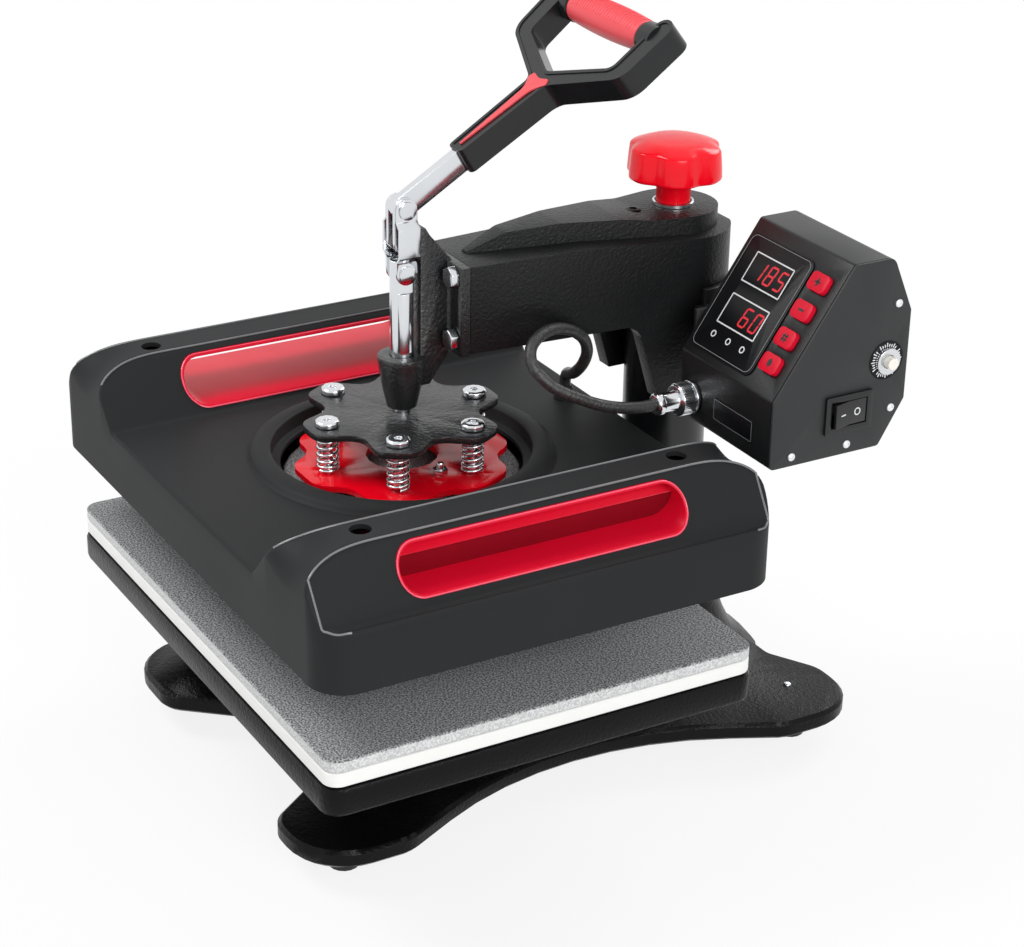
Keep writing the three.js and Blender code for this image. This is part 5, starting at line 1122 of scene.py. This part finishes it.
# Button marks: plus, minus, a hash and a drop, printed in black on the red caps.
black_ink = surface("black_screen_ink", "101012", "131315", 0.5, grain=1, relief=0.004)
for number, body in enumerate(button_bodies, 1):
    low, high = slope_box(f"button_{number}")
    x, s, top = (low[0] + high[0]) / 2, (low[1] + high[1]) / 2, high[2]
    level = (top - 0.12, top + 0.14)
    marks = {
        1: [((x - 3, s), (x + 3, s)), ((x, s - 3), (x, s + 3))],
        2: [((x - 2.8, s), (x + 2.8, s))],
        3: [((x - 3, s + d), (x + 3, s + d)) for d in (-1.1, 1.1)]
           + [((x + d - 0.4, s - 3), (x + d + 0.4, s + 3)) for d in (-1.1, 1.1)],
        4: [((x, s - 2.8), (x, s + 3.2))],
    }[number]
    width = (1.5, 1.6, 1.0, 3.6)[number - 1]
    shapes = [stroke(a, b, width, *level) for a, b in marks]
    piece(f"button_mark_{number}", moved(together(shapes), on_slope), black_ink, body)

# Plate and screws: a bare bright-edged name plate in front, and small screws round the end plate.
plate_place = (("X", math.pi / 2), (127.2, 163.6, 257.5))
plate = moved(soft_slab(21.2, 7.4, 1.5, 0, 0.7, 0.3, 2), *plate_place)
piece("name_plate", plate, satin_film, "arm")
plate_line = moved(flat_frame(-20.4, 20.4, -6.7, 6.7, 1.2, 0.3, 0.6, 0.75), *plate_place)
piece("name_plate_line", plate_line, grey_ink, "arm")
end_x = extent("box_end_plate")[1].x
end_screws = [((end_x, y, z), (1, 0, 0)) for y, z in (
    (252.4, 332.8), (252.4, 264), (220.4, 245.7), (179, 245.8),
)]
# Zinc plate on small screws: brighter and duller than nickel, with a pale blue cast.
zinc = surface("bright_zinc_plate", "f0f2f4", "e6e8ea", 0.3, 0.6, grain=1, relief=0.01)
screws("end_plate_screws", screw_head(2.7, 1.7, 2.2, 0.8, 0.8), end_screws, zinc, "arm", 6)

# Switches on the end plate: a rocker in its bezel, and the breaker's button in its ring nut.
gloss_nylon = surface("gloss_nylon", "101113", "121315", 0.22, grain=5, relief=0.01)
dressed("rocker_bezel", gloss_nylon, "arm", 0.4)
dressed("rocker_switch", gloss_nylon, "rocker", 0.5, 3)
dressed("mains_inlet", gloss_nylon, "arm", 0.4)
dressed("breaker_nut", nickel, "arm", 0.4)
ivory_nylon = surface("ivory_nylon", "f1eee6", "ece8df", 0.35, grain=4, relief=0.01)
dressed("breaker_button", ivory_nylon, "breaker", 0.6, 3)

# Marks on the end plate: a printed ring of ticks round the breaker, and the rocker's two marks.
low, high = extent("breaker_nut")
on_end = Matrix.Translation((end_x, (low.y + high.y) / 2, (low.z + high.z) / 2))
on_end = on_end @ Matrix.Rotation(math.pi / 2, 4, "Y")
ring_label = moved(turned_ring(6.5, 12.6, -0.1, 0.25, 96), on_end)
piece("breaker_label", ring_label, satin_film, "arm")
ticks = []
for number in range(36):
    if number % 9 != 4:
        angle = number * math.pi / 18
        spoke = Vector((math.cos(angle), math.sin(angle)))
        long = 2.2 if number % 3 else 3
        ticks.append(stroke(spoke * 8.6, spoke * (8.6 + long), 0.75, 0.2, 0.36))
piece("breaker_ticks", moved(together(ticks), on_end), white_ink, "arm")
rocker_low, rocker_high = extent("rocker_switch")
rocker_z, face_depth, face = (rocker_low.z + rocker_high.z) / 2, 4, {}
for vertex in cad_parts["rocker_switch"].data.vertices:
    point = in_row.inverted() @ vertex.co
    if point.x > rocker_high.x - face_depth:
        face[round(point.y, 1)] = max(point.x, face.get(round(point.y, 1), 0))
face_y, face_x = zip(*sorted(face.items()))
rocker_marks = []
for y, mark in ((214, stroke((0, -2.2), (0, 2.2), 0.8, -0.12, 0.12)),
                (225.5, flat_frame(-2.5, 2.5, -2.3, 2.3, 2.2, 0.7, -0.12, 0.12))):
    before, here, beyond = np.interp((y - 1.5, y, y + 1.5), face_y, face_x)
    place = Matrix.Translation((here, y, rocker_z)) @ Matrix.Rotation(math.pi / 2, 4, "Y")
    rocker_marks.append(moved(mark, ("X", math.atan2(beyond - before, 3)), place))
piece("rocker_marks", together(rocker_marks), white_ink, "rocker")

# Plug and socket: a screwed aviation plug in nickel-plated brass on the box's front.
dressed("connector_socket", nickel, "arm", 0.3)
dressed("connector_plug", nickel, "arm", 0.3)
plug_low, plug_high = extent("connector_plug")
plug_radius, knurl_long, knurl_count, knurl_deep = (plug_high.x - plug_low.x) / 2, 8.5, 44, 0.45
knurl_rings = [
    circle(radius, height, knurl_count * 6, knurl_count, knurl_deep)
    for radius, height in (
        (plug_radius - 1, 0), (plug_radius - 0.3, 0), (plug_radius + 0.15, 0.4),
        (plug_radius + 0.15, knurl_long - 0.4), (plug_radius - 0.3, knurl_long),
        (plug_radius - 1, knurl_long),
    )
]
plug_middle = (plug_low + plug_high) / 2
knurl = moved(stacked(knurl_rings, closed=True), ("X", math.pi / 2),
              (plug_middle.x, plug_high.y - 0.6, plug_middle.z))
piece("plug_knurled_ring", knurl, nickel, "arm", sharp=25)

# Gland: a moulded rubber bush on the cover's roof, through which the lead goes down to the heater.
gland_x, gland_y, gland_bore = -24, 134, lead_radius + 0.7
gland_profile = [
    (gland_bore, roof - 1), (7.2, roof - 1), (7.2, roof + 3.6), (6.6, roof + 4.4), (5.9, roof + 4.8),
    (5.4, roof + 7.6), (4.8, roof + 8.2), (gland_bore, roof + 8.2), (gland_bore, roof - 1),
]
piece("lead_gland", moved(lathed(gland_profile, 40), (gland_x, gland_y, 0)), rubber_sheath, "platen")
